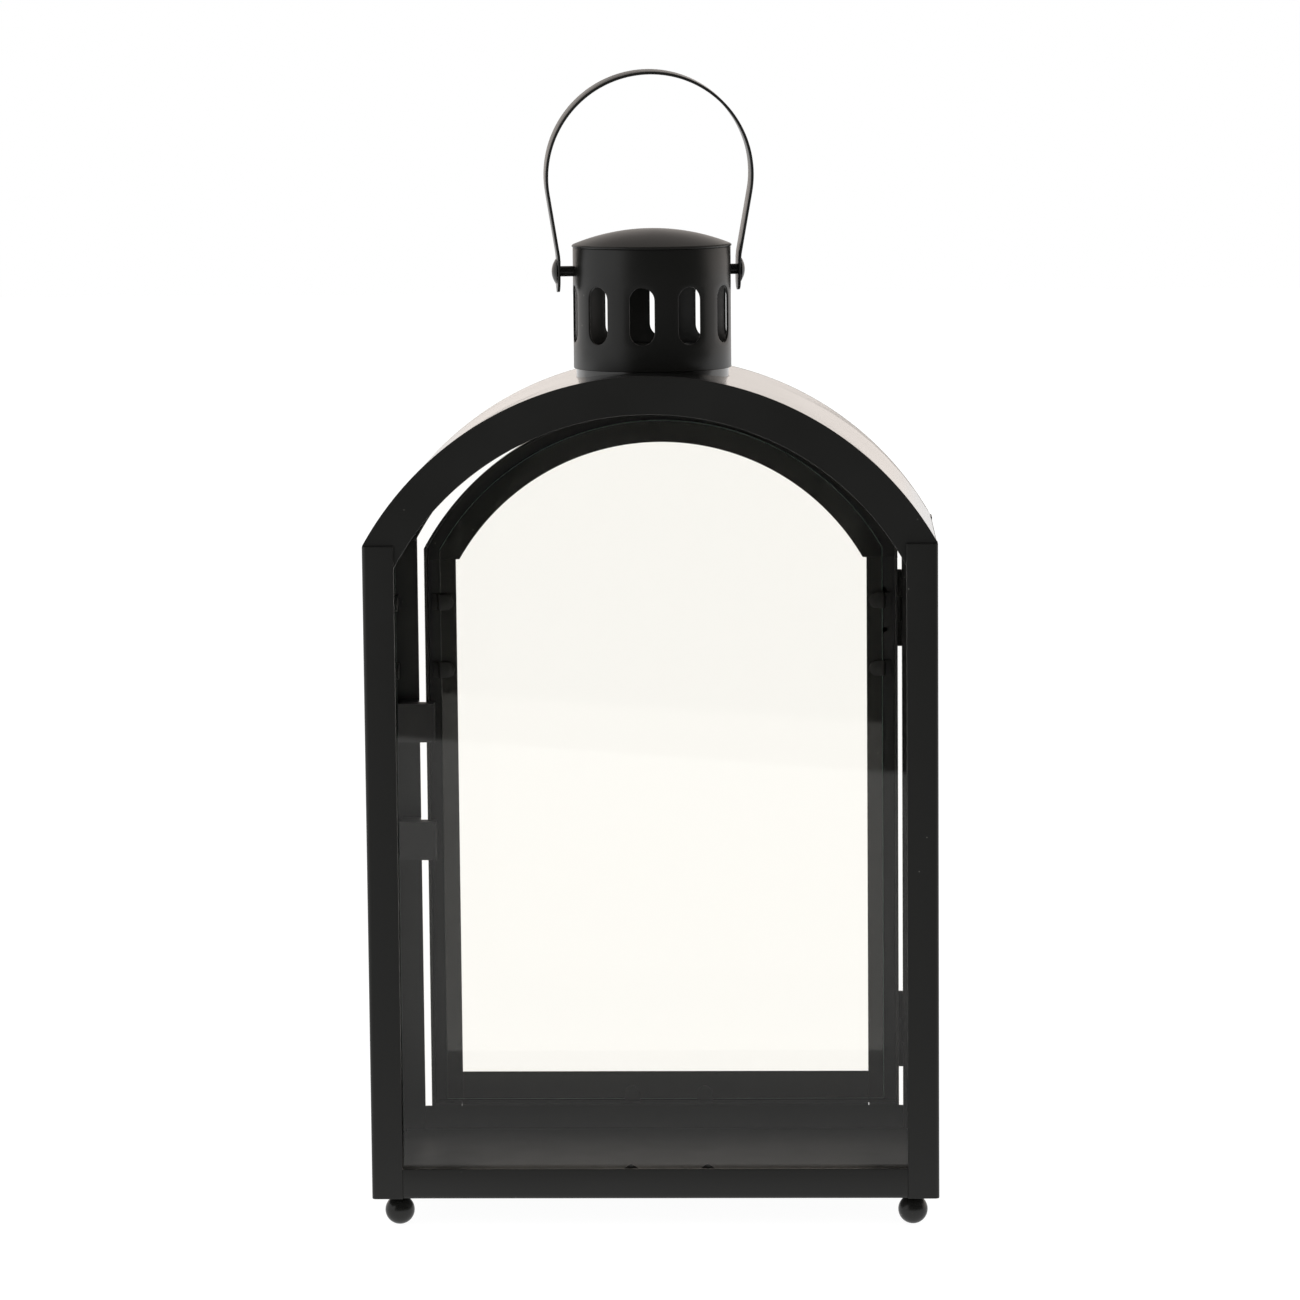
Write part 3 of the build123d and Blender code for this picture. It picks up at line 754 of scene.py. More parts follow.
class LANTERN_OT_cap(bpy.types.Operator):
    """Spins the chimney's domed cap with a rolled rim"""

    bl_idname = "lantern.cap"
    bl_label = "Chimney cap"

    def execute(self, context):
        low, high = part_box("chimney_cap")
        outer = high.x
        wall = context.scene.lantern_sizes.chimney_wall
        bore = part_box("chimney")[1].x - wall
        rise = high.z - wall - low.z
        dome = (outer**2 + rise**2) / (2 * rise)
        centre = high.z - dome
        half = math.asin((outer - 0.4 * MM) / dome)
        bead = arc((outer - 0.4 * MM, low.z + 0.4 * MM), 0.4 * MM, math.pi / 2.4, -math.pi / 2, 10)
        below = dome - wall
        under = math.asin(bore / below)
        inside = arc((0, centre), below, math.pi / 2 - under, math.pi / 2, 30)
        top = arc((0, centre), dome, math.pi / 2, math.pi / 2 - half, 40)
        profile = top + bead + [Vector((bore, low.z))] + inside
        build("Chimney_cap", lathe(profile, 128), FINISHES["chimney"], "chimney_cap")
        return {"FINISHED"}


def handle_path(sizes, half_span, top, tail):
    """The strip's middle line in the plane of the bail, from the right end to the left:
    upright ends, straight legs and a round top. Heights are above the rivets."""
    radius = sizes.handle_arc
    centre = top - sizes.handle_thick / 2 - radius
    drop = centre - sizes.handle_flat
    tilt = math.atan2(drop, half_span) - math.acos(radius / math.hypot(half_span, drop))
    straight = tail + sizes.handle_flat * 0.8
    end = [Vector((half_span, -tail + straight * k / 24)) for k in range(25)]
    bend = Vector((half_span, sizes.handle_flat))
    touch = Vector((radius * math.cos(tilt), centre - radius * math.sin(tilt)))
    leg = [bend.lerp(touch, share) for share in (0.05, 0.15, 0.35, 0.6, 0.85)]
    right = end + leg
    over = arc((0, centre), radius, -tilt, math.pi + tilt, 80)
    return right + over + [Vector((-p.x, p.y)) for p in reversed(right)]


class LANTERN_OT_handle(bpy.types.Operator):
    """Bends the handle from strip with rounded ends and edges"""

    bl_idname = "lantern.handle"
    bl_label = "Handle"

    def execute(self, context):
        sizes = context.scene.lantern_sizes
        joint = next(j for j in frame["joints"] if j["child"] == "handle")
        pivot, axis = Vector(joint["pos_m"]), Vector(joint["axis"])
        askew = Matrix.Rotation(math.atan2(axis.y, axis.x), 4, "Z")
        flat = [askew.inverted() @ (v.co - pivot) for v in frame["nodes"]["handle"].data.vertices]
        across = [v.x for v in flat]
        middle = (min(across) + max(across)) / 2
        # The strip leans about the rivets' line; its top's middle gives the lean and the height.
        high = max(v.z for v in flat)
        crest = [v for v in flat if v.z > high - 12 * MM and abs(v.x - middle) < 6 * MM]
        lean_at = sum(crest, Vector()) / len(crest)
        lean = math.atan2(-lean_at.y, lean_at.z)
        turn = Matrix.Rotation(lean, 4, "X")
        flat = [turn.inverted() @ v for v in flat]
        top = max(v.z for v in flat)
        tail = -min(v.z for v in flat)
        wide = max(v.y for v in flat)
        near_rivet = [abs(v.x - middle) for v in flat if abs(v.z + tail / 2) < tail / 2]
        half_span = (max(near_rivet) + min(near_rivet)) / 2
        path = handle_path(sizes, half_span, top, tail)
        thick = sizes.handle_thick / 2
        rings = []
        for index, point in enumerate(path):
            before = path[max(index - 1, 0)]
            after = path[min(index + 1, len(path) - 1)]
            along_strip = (after - before).normalized()
            out = Vector((along_strip.y, -along_strip.x))
            from_end = min(point.y + tail, wide) if index < 25 or index > len(path) - 26 else wide
            reach = math.sqrt(max(wide**2 - (wide - from_end) ** 2, (0.25 * MM) ** 2))
            soft = min(0.38 * MM, reach * 0.9)
            section = rounded(
                [(-thick, -reach, soft), (thick, -reach, soft), (thick, reach, soft),
                 (-thick, reach, soft)], 3
            )
            ring = []
            for s, y in section:
                ring.append(Vector((point.x + out.x * s + middle, y, point.y + out.y * s)))
            rings.append(ring)
        shape = moved(loft(rings), Matrix.Translation(pivot) @ askew @ turn)
        build("Handle", shape, FINISHES["handle"], "handle",
              smooth=math.radians(50))
        return {"FINISHED"}


class LANTERN_OT_handle_rivets(bpy.types.Operator):
    """Turns the two rivets that the handle swings on"""

    bl_idname = "lantern.handle_rivets"
    bl_label = "Handle rivets"

    def execute(self, context):
        sizes = context.scene.lantern_sizes
        joint = next(j for j in frame["joints"] if j["child"] == "handle")
        pivot = Vector(joint["pos_m"])
        for side_name, side in SIDES:
            node = f"handle_rivet_{side_name}"
            axis = Vector(joint["axis"]) * side
            points = [v.co - pivot for v in frame["nodes"][node].data.vertices]
            reach = [p.dot(axis) for p in points]
            length = max(reach) - min(reach)
            head = max((p - axis * p.dot(axis)).length for p in points)
            head_thick = 1.5 * MM
            flat = length - head_thick
            shank = sizes.rivet / 2
            dome = (head**2 + head_thick**2) / (2 * head_thick)
            half = math.asin((head - 0.15 * MM) / dome)
            turns = [half * k / 16 for k in range(16, -1, -1)]
            cap = [(dome * math.sin(turn), length - dome + dome * math.cos(turn)) for turn in turns]
            profile = [(0, 0), (3.1 * MM, 0), (3.5 * MM, 0.3 * MM), (3.5 * MM, 1.0 * MM),
                       (3.3 * MM, 1.2 * MM), (shank, 1.2 * MM), (shank, flat),
                       (head - 0.1 * MM, flat), (head, flat + 0.12 * MM)] + cap
            shape = moved(lathe(profile, 64), along(axis, pivot + axis * min(reach)))
            build(f"Handle_rivet_{side_name}", shape, FINISHES["handle"], node)
        return {"FINISHED"}


# ---- Door --------------------------------------------------------------------------------------


class LANTERN_OT_door_frame(bpy.types.Operator):
    """Builds the door's two stiles, its bottom rail and its arch, flanged round the edge"""

    bl_idname = "lantern.door_frame"
    bl_label = "Door frame"

    def execute(self, context):
        sizes = context.scene.lantern_sizes
        sheet, soft = sizes.door_steel, sizes.edge
        for name, side in (("latch", -1), ("hinge", 1)):
            low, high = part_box(f"door_stile_{name}")
            profile = angle_profile(
                high.x - low.x, high.y - low.y, sheet, sizes.door_bend, soft
            )
            corner = (high.x if side > 0 else low.x, high.y, low.z)
            stile = angle_length(
                corner, (-side, 0, 0), (0, -1, 0), (0, 0, high.z - low.z), profile
            )
            rim = block(
                (low.x + soft, low.y, low.z), (high.x - soft, high.y - sheet, low.z + sheet)
            )
            build(f"Door_stile_{name}", joined([stile, rim]), FINISHES["door"],
                  f"door_stile_{name}", soft)
        low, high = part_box("door_rail")
        profile = angle_profile(high.z - low.z, high.y - low.y, sheet, sizes.door_bend, soft)
        rail = angle_length(
            (low.x, high.y, low.z), (0, 0, 1), (0, -1, 0), (high.x - low.x, 0, 0), profile
        )
        build("Door_rail", rail, FINISHES["door"], "door_rail", soft)
        self.arch(sizes)
        return {"FINISHED"}

    def arch(self, sizes):
        """The door's arch: a face band with a flange round its outside."""
        low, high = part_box("door_arch")
        sheet, soft = sizes.door_steel, sizes.edge
        middle = (low.x + high.x) / 2
        half = (high.x - low.x) / 2
        radius = sizes.door_arch_radius
        centre = high.z - radius
        inner = radius - sizes.door_arch_band
        shoulder = math.acos(half / radius)
        end = math.asin((low.z - centre) / inner)

        def flange_line(inset):
            """The outer edge, inset by part of the sheet, from the right end to the left."""
            reach = half - inset
            turn = math.acos(reach / (radius - inset))
            line = [Vector((middle + reach, low.z))]
            line += arc((middle, centre), radius - inset, turn, math.pi - turn, ARCH_STEPS)
            return line + [Vector((middle - reach, low.z))]

        band = [Vector((middle + half, low.z))]
        band += arc((middle, centre), radius, shoulder, math.pi - shoulder, ARCH_STEPS)
        band += [Vector((middle - half, low.z))]
        band += arc((middle, centre), inner, math.pi - end, end, ARCH_STEPS)
        face = prism(band, high.y - sheet, high.y)
        rim = prism(flange_line(0) + flange_line(sheet)[::-1], low.y, high.y - sheet)
        build("Door_arch", joined([face, rim]), FINISHES["door"], "door_arch", soft)


class LANTERN_OT_door_knob(bpy.types.Operator):
    """Turns the door's low pull"""

    bl_idname = "lantern.door_knob"
    bl_label = "Door pull"

    def execute(self, context):
        low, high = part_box("door_knob")
        height = high.y - low.y
        radius = (high.z - low.z) / 2
        profile = [
            (0, 0), (0.62 * radius, 0), (0.55 * radius, 0.1 * height),
            (0.5 * radius, 0.22 * height), (0.55 * radius, 0.34 * height),
            (0.8 * radius, 0.4 * height), (0.95 * radius, 0.47 * height),
            (radius, 0.6 * height), (0.97 * radius, 0.74 * height), (0.86 * radius, 0.86 * height),
            (0.66 * radius, 0.94 * height), (0.36 * radius, 0.985 * height), (0, height),
        ]
        origin = ((low.x + high.x) / 2, low.y, (low.z + high.z) / 2)
        shape = moved(lathe(profile, 64), along((0, 1, 0), origin))
        build("Door_knob", shape, FINISHES["ball"], "door_knob",
              smooth=math.radians(60))
        return {"FINISHED"}


# ---- Glass, tabs, hinges and catches -----------------------------------------------------------


def arched_outline(low, high, radius):
    """A pane's outline from its box: upright sides and a round head of that radius."""
    middle, half = (low.x + high.x) / 2, (high.x - low.x) / 2
    centre = high.z - radius
    shoulder = math.acos(half / radius)
    head = arc((middle, centre), radius, shoulder, math.pi - shoulder, ARCH_STEPS)
    return [Vector((low.x, low.z)), Vector((high.x, low.z)), *head]


class LANTERN_OT_panes(bpy.types.Operator):
    """Cuts the four panes, polished on both faces and ground round the edge"""

    bl_idname = "lantern.panes"
    bl_label = "Glass panes"

    def execute(self, context):
        sizes = context.scene.lantern_sizes
        arch_lap = 8.1 * MM
        _centre, outer, _half, _eave = frame_arch_circle(sizes)
        low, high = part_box("glass_front")
        outline = arched_outline(low, high, outer - sizes.arch_band + arch_lap)
        self.pane("Glass_front", "glass_front", prism(outline, low.y, high.y), "Y")
        low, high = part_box("glass_door")
        door_radius = sizes.door_arch_radius - sizes.door_arch_band + arch_lap
        outline = arched_outline(low, high, door_radius)
        self.pane("Glass_door", "glass_door", prism(outline, low.y, high.y), "Y")
        for side_name, _side in SIDES:
            low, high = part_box(f"glass_{side_name}")
            self.pane(f"Glass_{side_name}", f"glass_{side_name}", block(low, high), "X")
        return {"FINISHED"}

    def pane(self, name, node, shape, face_axis):
        """One pane. Its edge faces take the ground finish, and it lets lamps shine through."""
        piece = build(name, shape, FINISHES["glass"], node, 0.3 * MM)
        piece.data.materials.append(FINISHES["glass_edge"])
        for face in piece.data.polygons:
            if abs(getattr(face.normal, face_axis.lower())) < 0.5:
                face.material_index = 1
        piece.visible_shadow = False


def bent_strip(path, width, thick, tip_radius):
    """A flat strip along a path in the (u, n) plane, w across, with a rounded free end."""
    fine = [path[0]]
    for before, after in zip(path, path[1:]):
        fine += [before.lerp(after, step / 6) for step in range(1, 7)]
    total = sum((b - a).length for a, b in zip(fine, fine[1:]))
    rings, gone = [], 0.0
    for index, point in enumerate(fine):
        if index:
            gone += (point - fine[index - 1]).length
        before, after = fine[max(index - 1, 0)], fine[min(index + 1, len(fine) - 1)]
        way = (after - before).normalized()
        side = Vector((-way.y, way.x))
        left = max(total - gone, 0.0)
        half = width / 2
        if left < tip_radius:
            half = max(math.sqrt(tip_radius**2 - (tip_radius - left) ** 2), 0.3 * MM)
        soft = 0.2 * MM
        section = rounded([(0, -half, soft), (thick, -half, soft), (thick, half, soft),
                           (0, half, soft)], 2)
        rings.append([Vector((point.x + side.x * s, w, point.y + side.y * s)) for s, w in section])
    return loft(rings)


def islands(node):
    """The boxes of a node's separate solids."""
    mesh = frame["nodes"][node].data
    loose = bmesh.new()
    loose.from_mesh(mesh)
    bmesh.ops.remove_doubles(loose, verts=loose.verts, dist=1e-6)
    boxes, seen = [], set()
    for seed in loose.verts:
        if seed in seen:
            continue
        group, queue = [], [seed]
        seen.add(seed)
        while queue:
            vertex = queue.pop()
            group.append(vertex.co.copy())
            for edge in vertex.link_edges:
                other = edge.other_vert(vertex)
                if other not in seen:
                    seen.add(other)
                    queue.append(other)
        boxes.append((Vector(map(min, zip(*group))), Vector(map(max, zip(*group)))))
    loose.free()
    return boxes


class LANTERN_OT_tabs(bpy.types.Operator):
    """Bends the glazing tabs and cuts the tongues, each from a short strip with a rounded tip"""

    bl_idname = "lantern.tabs"
    bl_label = "Glazing tabs"

    def execute(self, context):
        sizes = context.scene.lantern_sizes
        for name in ("tabs_front", "tabs_left", "tabs_right", "tabs_door"):
            shapes = [self.tab(name, low, high, sizes) for low, high in islands(name)]
            build(name.capitalize(), joined(shapes), FINISHES["door"], name,
                  smooth=math.radians(50))
        return {"FINISHED"}

    def tab(self, node, low, high, sizes):
        """One tab in its box: it lies on the frame beside the pane, rises and turns over it. Low
        down on a fixed pane it is a straight tongue that stands behind the glass."""
        thick = sizes.tab_sheet
        middle = (low + high) / 2
        bend = 0.9 * MM
        if node == "tabs_door" or middle.z > 30 * MM:
            rise, reach, u_axis, n_axis, origin = self.over_pane(node, low, high, middle)
            foot = sizes.tab_foot if reach > 7 * MM else 0.0
            corner = arc((foot + bend, rise - bend), bend, math.pi, math.pi / 2, 5)
            heel = [Vector((0, thick))] + arc((foot - 0.4 * MM, thick + 0.4 * MM), 0.4 * MM,
                                              -math.pi / 2, 0, 4)
            path = [*(heel if foot else [Vector((0, 0))]), *corner, Vector((reach, rise))]
        else:
            u_axis, n_axis = Vector((-math.copysign(1, middle.x), 0, 0)), Vector((0, 0, 1))
            if node == "tabs_front":
                u_axis = Vector((0, 1, 0))
            origin = Vector((middle.x, middle.y, low.z)) - u_axis * thick / 2
            path = [Vector((0, 0)), Vector((0, high.z - low.z))]
        shape = bent_strip(path, sizes.tab_width, -thick, sizes.tab_width / 2)
        w_axis = n_axis.cross(u_axis)
        turn = Matrix((u_axis, w_axis, n_axis)).transposed().to_4x4()
        return moved(shape, Matrix.Translation(origin) @ turn)

    def over_pane(self, node, low, high, middle):
        """A tab's rise, reach and axes: u along the pane, n away from the frame."""
        if node in ("tabs_front", "tabs_door"):
            n_axis = Vector((0, 1, 0)) if node == "tabs_front" else Vector((0, -1, 0))
            flat = abs(middle.x) < 60 * MM
            u_axis = Vector((0, 0, 1)) if flat else Vector((-math.copysign(1, middle.x), 0, 0))
        else:
            n_axis = Vector((-math.copysign(1, middle.x), 0, 0))
            u_axis = Vector((0, -math.copysign(1, middle.y), 0))
        span = high - low
        rise = span.dot(Vector(map(abs, n_axis)))
        reach = span.dot(Vector(map(abs, u_axis)))
        origin = middle - n_axis * rise / 2 - u_axis * reach / 2
        return rise, reach, u_axis, n_axis, origin


class LANTERN_OT_hinges(bpy.types.Operator):
    """Builds the two butt hinges: rolled leaves, headed pins and domed rivets"""

    bl_idname = "lantern.hinges"
    bl_label = "Hinges"

    def execute(self, context):
        sizes = context.scene.lantern_sizes
        joint = next(j for j in frame["joints"] if j["child"] == "door")
        axis_x, axis_y = joint["pos_m"][:2]
        for level in ("upper", "lower"):
            for owner, side in (("frame", 1), ("door", -1)):
                self.leaf(f"hinge_leaf_{owner}_{level}", side, axis_x, axis_y, sizes)
            self.pin(f"hinge_pin_{level}", axis_x, axis_y, sizes)
        for owner in ("frame", "door"):
            self.rivets(f"hinge_rivets_{owner}")
        return {"FINISHED"}

    def leaf(self, node, side, axis_x, axis_y, sizes):
        """A leaf with rounded corners, rolled round the pin into knuckles."""
        low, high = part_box(node)
        gap = 0.3 * MM
        third = (high.z - low.z - 2 * gap) / 3
        starts = (low.z, low.z + 2 * (third + gap)) if side > 0 else (low.z + third + gap,)
        outer = high.x if side > 0 else low.x
        plain = axis_x + side * (sizes.knuckle / 2 + gap)
        corners = [(plain, low.z, 0.2 * MM), (outer, low.z, 1.2 * MM),
                   (outer, high.z, 1.2 * MM), (plain, high.z, 0.2 * MM)]
        plate = prism(rounded(corners), low.y, low.y + sizes.leaf)
        shapes = [plate]
        radius, bore = sizes.knuckle / 2, sizes.pin / 2 + 0.05 * MM
        # Seen along the pin, the sheet runs in under the pin and curls once round it.
        floor = low.y - axis_y
        curl = arc((0, 0), radius, -math.pi / 2, -math.pi / 2 - side * math.radians(330), 28)
        back = arc((0, 0), bore, -math.pi / 2 - side * math.radians(330), -math.pi / 2, 28)
        # The arm reaches a little into the plate so that the two read as one sheet.
        reach = side * (sizes.knuckle / 2 + gap + 0.4 * MM)
        arm = [Vector((reach, floor + sizes.leaf)), Vector((reach, floor))]
        section = arm + curl + back
        for start in starts:
            heights = (start, start + third)
            rings = [[(axis_x + p.x, axis_y + p.y, z) for p in section] for z in heights]
            shapes.append(loft(rings))
        build(node.capitalize(), joined(shapes), FINISHES["door"], node, 0.12 * MM)

    def pin(self, node, axis_x, axis_y, sizes):
        """A hinge pin with a rounded head and a chamfered foot."""
        low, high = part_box(node)
        length = high.z - low.z
        head = (high.x - low.x) / 2
        radius = sizes.pin / 2
        profile = [(0, 0), (radius - 0.25 * MM, 0), (radius, 0.25 * MM),
                   (radius, length - 0.8 * MM),
                   (head - 0.1 * MM, length - 0.8 * MM), (head, length - 0.65 * MM),
                   (head, length - 0.4 * MM), (0.8 * head, length - 0.12 * MM),
                   (0.4 * head, length - 0.02 * MM), (0, length)]
        shape = moved(lathe(profile, 40), Matrix.Translation((axis_x, axis_y, low.z)))
        build(node.capitalize(), shape, FINISHES["handle"], node,
              smooth=math.radians(50))

    def rivets(self, node):
        """Small domed rivets, one at each of the node's solids."""
        shapes = []
        for low, high in islands(node):
            radius = (high.x - low.x) / 2
            rise = 0.7 * MM
            dome = (radius**2 + rise**2) / (2 * rise)
            half = math.asin((radius - 0.06 * MM) / dome)
            base = high.y - low.y - rise
            centre = base + rise - dome
            turns = [half * k / 10 for k in range(10, -1, -1)]
            cap = [(dome * math.sin(turn), centre + dome * math.cos(turn)) for turn in turns]
            profile = [(0, 0), (1.0 * MM, 0), (1.0 * MM, base), (radius, base),
                       (radius, base + 0.05 * MM)] + cap
            origin = ((low.x + high.x) / 2, low.y, (low.z + high.z) / 2)
            shapes.append(moved(lathe(profile, 32), along((0, 1, 0), origin)))
        build(node.capitalize(), joined(shapes), FINISHES["door"], node,
              smooth=math.radians(50))


class LANTERN_OT_catches(bpy.types.Operator):
    """Finishes the two magnetic catches: their engineering shape stays, with soft edges"""

    bl_idname = "lantern.catches"
    bl_label = "Catches"

    def execute(self, context):
        for node in ("catch_upper", "catch_lower"):
            block_object = frame["nodes"][node]
            block_object.data.materials.clear()
            block_object.data.materials.append(FINISHES["catch"])
            soften(block_object, 0.5 * MM)
        return {"FINISHED"}


# ---- Stage -------------------------------------------------------------------------------------


def mirror_ray(tree):
    """1 for a ray that a surface has mirrored, and 0 for one that is seen or only passes glass."""
    path = add(tree, "ShaderNodeLightPath")
    mirrored = add(
        tree, "ShaderNodeMath", {0: path.outputs["Glossy Depth"], 1: 0.5}, operation="GREATER_THAN"
    )
    return mirrored.outputs[0]


class LANTERN_OT_stage(bpy.types.Operator):
    """Sets the camera, the pale floor and the soft studio light"""

    bl_idname = "lantern.stage"
    bl_label = "Stage"

    def execute(self, context):
        scene = context.scene
        scene.view_settings.view_transform = "Standard"
        self.camera(scene)
        self.floor(scene)
        self.room(scene)
        self.card(scene)
        self.softbox(scene)
        return {"FINISHED"}

    def camera(self, scene):
        """A long lens a little above the roof, looking slightly down."""
        stage = scene.lantern_stage
        yaw, pitch, roll = stage.yaw, stage.pitch, stage.roll
        level = math.cos(pitch)
        forward = Vector((math.sin(yaw) * level, math.cos(yaw) * level, -math.sin(pitch)))
        level_right = Vector((math.cos(yaw), -math.sin(yaw), 0))
        level_up = level_right.cross(forward)
        right = level_right * math.cos(roll) + level_up * math.sin(roll)
        up = level_up * math.cos(roll) - level_right * math.sin(roll)
        data = bpy.data.cameras.new("Camera")
        data.lens = stage.lens
        data.sensor_width = 36.0
        data.clip_start, data.clip_end = 0.05, 50.0
        camera = bpy.data.objects.new("Camera", data)
        place = Matrix((right, up, -forward)).transposed().to_4x4()
        place.translation = (stage.camera_x, -stage.camera_back, stage.camera_z)
        camera.matrix_world = place
        scene.collection.objects.link(camera)
        scene.camera = camera

    def floor(self, scene):
        """A matt table that glows evenly, so that it looks white and takes hardly any shadow.
        Mirrored rays see it dimmer towards its front edge, and dark past that edge, as in a
        studio whose far side is unlit."""
        reach = 6.0
        mesh = bpy.data.meshes.new("Floor")
        corners = [(-reach, -reach, 0), (reach, -reach, 0), (reach, reach, 0), (-reach, reach, 0)]
        mesh.from_pydata(corners, [], [(0, 1, 2, 3)])
        floor = bpy.data.objects.new("Floor", mesh)
        scene.collection.objects.link(floor)
        material, tree = new_material("pale_table")
        matt = add(
            tree,
            "ShaderNodeBsdfPrincipled",
            {"Base Color": linear(scene.lantern_colours.floor), "Roughness": 0.9,
             "Specular IOR Level": 0.0, "Emission Color": (1, 1, 1, 1), "Emission Strength": 0.96},
        )
        place = add(tree, "ShaderNodeTexCoord").outputs["Object"]
        parts = add(tree, "ShaderNodeSeparateXYZ", {"Vector": place})
        skew = add(
            tree, "ShaderNodeMath", {0: parts.outputs["X"], 1: -0.51, 2: parts.outputs["Y"]},
            operation="MULTIPLY_ADD",
        )
        edge = add(
            tree, "ShaderNodeMapRange",
            {"Value": skew.outputs[0], "From Min": -1.175, "From Max": -1.155, "To Min": 0.0,
             "To Max": 1.0},
        )
        depth = add(
            tree, "ShaderNodeMapRange",
            {"Value": parts.outputs["Y"], "From Min": -0.25, "From Max": 0.15, "To Min": 0.36,
             "To Max": 0.95},
        )
        seen = add(
            tree, "ShaderNodeMath", {0: edge.outputs["Result"], 1: depth.outputs["Result"]},
            operation="MULTIPLY",
        )
        mirrored = add(tree, "ShaderNodeEmission", {"Strength": seen.outputs[0]})
        both = add(
            tree, "ShaderNodeMixShader",
            {0: mirror_ray(tree), 1: matt.outputs["BSDF"], 2: mirrored.outputs["Emission"]},
        )
        add(tree, "ShaderNodeOutputMaterial", {"Surface": both.outputs["Shader"]})
        mesh.materials.append(material)

    def room(self, scene):
        """A white room. Mirrored rays see a pale sweep behind the lantern that fades upward, a
        paler left side, and a dark studio in front."""
        world = bpy.data.worlds.new("Studio")
        scene.world = world
        world.use_nodes = True
        tree = world.node_tree
        tree.nodes.clear()
        way = add(tree, "ShaderNodeTexCoord").outputs["Generated"]
        parts = add(tree, "ShaderNodeSeparateXYZ", {"Vector": way})
        behind = add(
            tree, "ShaderNodeMapRange",
            {"Value": parts.outputs["Y"], "From Min": -0.25, "From Max": 0.25, "To Min": 0.0,
             "To Max": 1.0},
            interpolation_type="SMOOTHSTEP",
        )
        left = add(
            tree, "ShaderNodeMapRange",
            {"Value": parts.outputs["X"], "From Min": -0.45, "From Max": -0.85, "To Min": 0.0,
             "To Max": 0.9},
            interpolation_type="SMOOTHSTEP",
        )
        widest = add(
            tree, "ShaderNodeMath", {0: behind.outputs["Result"], 1: left.outputs["Result"]},
            operation="MAXIMUM",
        )
        high = add(
            tree, "ShaderNodeMapRange",
            {"Value": parts.outputs["Z"], "From Min": 0.12, "From Max": 0.55, "To Min": 1.0,
             "To Max": 0.3},
            interpolation_type="SMOOTHSTEP",
        )
        glow = add(
            tree, "ShaderNodeMath", {0: widest.outputs[0], 1: high.outputs["Result"]},
            operation="MULTIPLY",
        )
        mirrored = add(
            tree, "ShaderNodeBackground",
            {"Color": linear("#FFF6EF"), "Strength": glow.outputs[0]},
        )
        seen = add(tree, "ShaderNodeBackground", {"Color": (1, 1, 1, 1), "Strength": 1.0})
        both = add(
            tree, "ShaderNodeMixShader",
            {0: mirror_ray(tree), 1: seen.outputs["Background"], 2: mirrored.outputs["Background"]},
        )
        add(tree, "ShaderNodeOutputWorld", {"Surface": both.outputs["Shader"]})

    def card(self, scene):
        """A tall pale card at the front left. Only mirrored rays see it: it puts the pale band
        on the chimney's left and the thin light line on the bent edges."""
        mesh = bpy.data.meshes.new("Card")
        mesh.from_pydata(
            [(-1.05, -1.25, 0.0), (-1.45, 0.95, 0.0), (-1.45, 0.95, 1.6), (-1.05, -1.25, 1.6)],
            [], [(0, 1, 2, 3)],
        )
        card = bpy.data.objects.new("Card", mesh)
        scene.collection.objects.link(card)
        material, tree = new_material("pale_card")
        glow = add(tree, "ShaderNodeEmission", {"Strength": 0.7})
        add(tree, "ShaderNodeOutputMaterial", {"Surface": glow.outputs["Emission"]})
        mesh.materials.append(material)
        card.visible_camera = False
        card.visible_transmission = False
        card.visible_shadow = False
        card.visible_diffuse = False

    def softbox(self, scene):
        """One wide overhead softbox, low enough in power to leave almost no shadow."""
        data = bpy.data.lights.new("Softbox", "AREA")
        data.shape = "DISK"
        data.size = 1.2
        data.energy = 0.4
        lamp = bpy.data.objects.new("Softbox", data)
        lamp.matrix_world = along((0.35, 0.1, 1), (-0.55, -0.15, 1.7))
        scene.collection.objects.link(lamp)


# ---- Panel and registration --------------------------------------------------------------------


PIECES = (
    LANTERN_OT_posts, LANTERN_OT_rails, LANTERN_OT_arches, LANTERN_OT_roof,
    LANTERN_OT_base_plate, LANTERN_OT_feet, LANTERN_OT_chimney, LANTERN_OT_collar,
    LANTERN_OT_cap, LANTERN_OT_handle, LANTERN_OT_handle_rivets, LANTERN_OT_door_frame,
    LANTERN_OT_door_knob, LANTERN_OT_panes, LANTERN_OT_tabs, LANTERN_OT_hinges,
    LANTERN_OT_catches, LANTERN_OT_stage,
)


class LANTERN_PT_sidebar(bpy.types.Panel):
    """Lists the lantern's pieces and settings"""

    bl_idname = "LANTERN_PT_sidebar"
    bl_label = "Candle lantern"
    bl_space_type = "VIEW_3D"
    bl_region_type = "UI"
    bl_category = "Lantern"

    def draw(self, context):
        for operator in PIECES:
            self.layout.operator(operator.bl_idname)
        for group in ("lantern_sizes", "lantern_colours", "lantern_stage"):
            settings = getattr(context.scene, group)
            box = self.layout.box()
            for name in settings.bl_rna.properties.keys():
                if name not in ("rna_type", "name"):
                    box.prop(settings, name)


GROUPS = {
    "lantern_sizes": LanternSizes,
    "lantern_colours": LanternColours,
    "lantern_stage": LanternStage,
}


def register():
    """Registers the settings, the operators and the panel."""
    for name, group in GROUPS.items():
        bpy.utils.register_class(group)
        setattr(bpy.types.Scene, name, PointerProperty(type=group))
    for kind in (*PIECES, LANTERN_PT_sidebar):
        bpy.utils.register_class(kind)


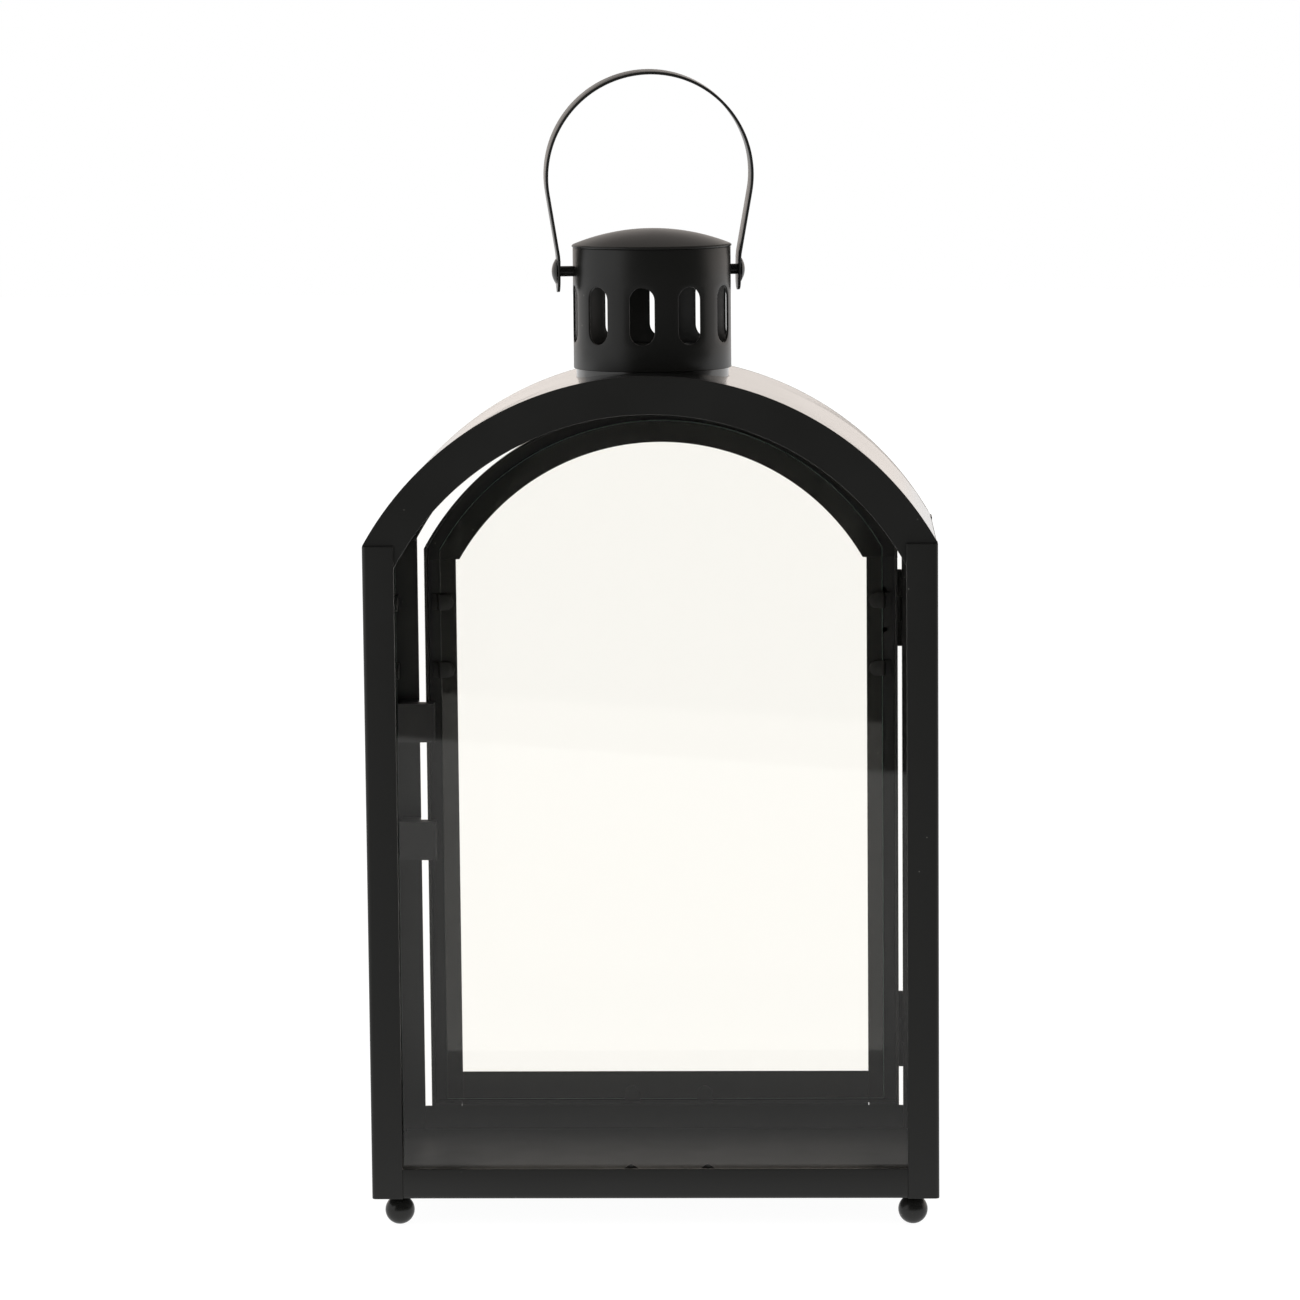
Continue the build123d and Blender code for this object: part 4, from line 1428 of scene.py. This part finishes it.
def unregister():
    """Takes them all away again."""
    for kind in (LANTERN_PT_sidebar, *reversed(PIECES)):
        bpy.utils.unregister_class(kind)
    for name, group in GROUPS.items():
        delattr(bpy.types.Scene, name)
        bpy.utils.unregister_class(group)


def main():
    """Builds every piece in order."""
    register()
    FINISHES.update(make_materials(bpy.context.scene))
    for operator in PIECES:
        family, action = operator.bl_idname.split(".")
        getattr(getattr(bpy.ops, family), action)()


if __name__ == "__main__":
    main()
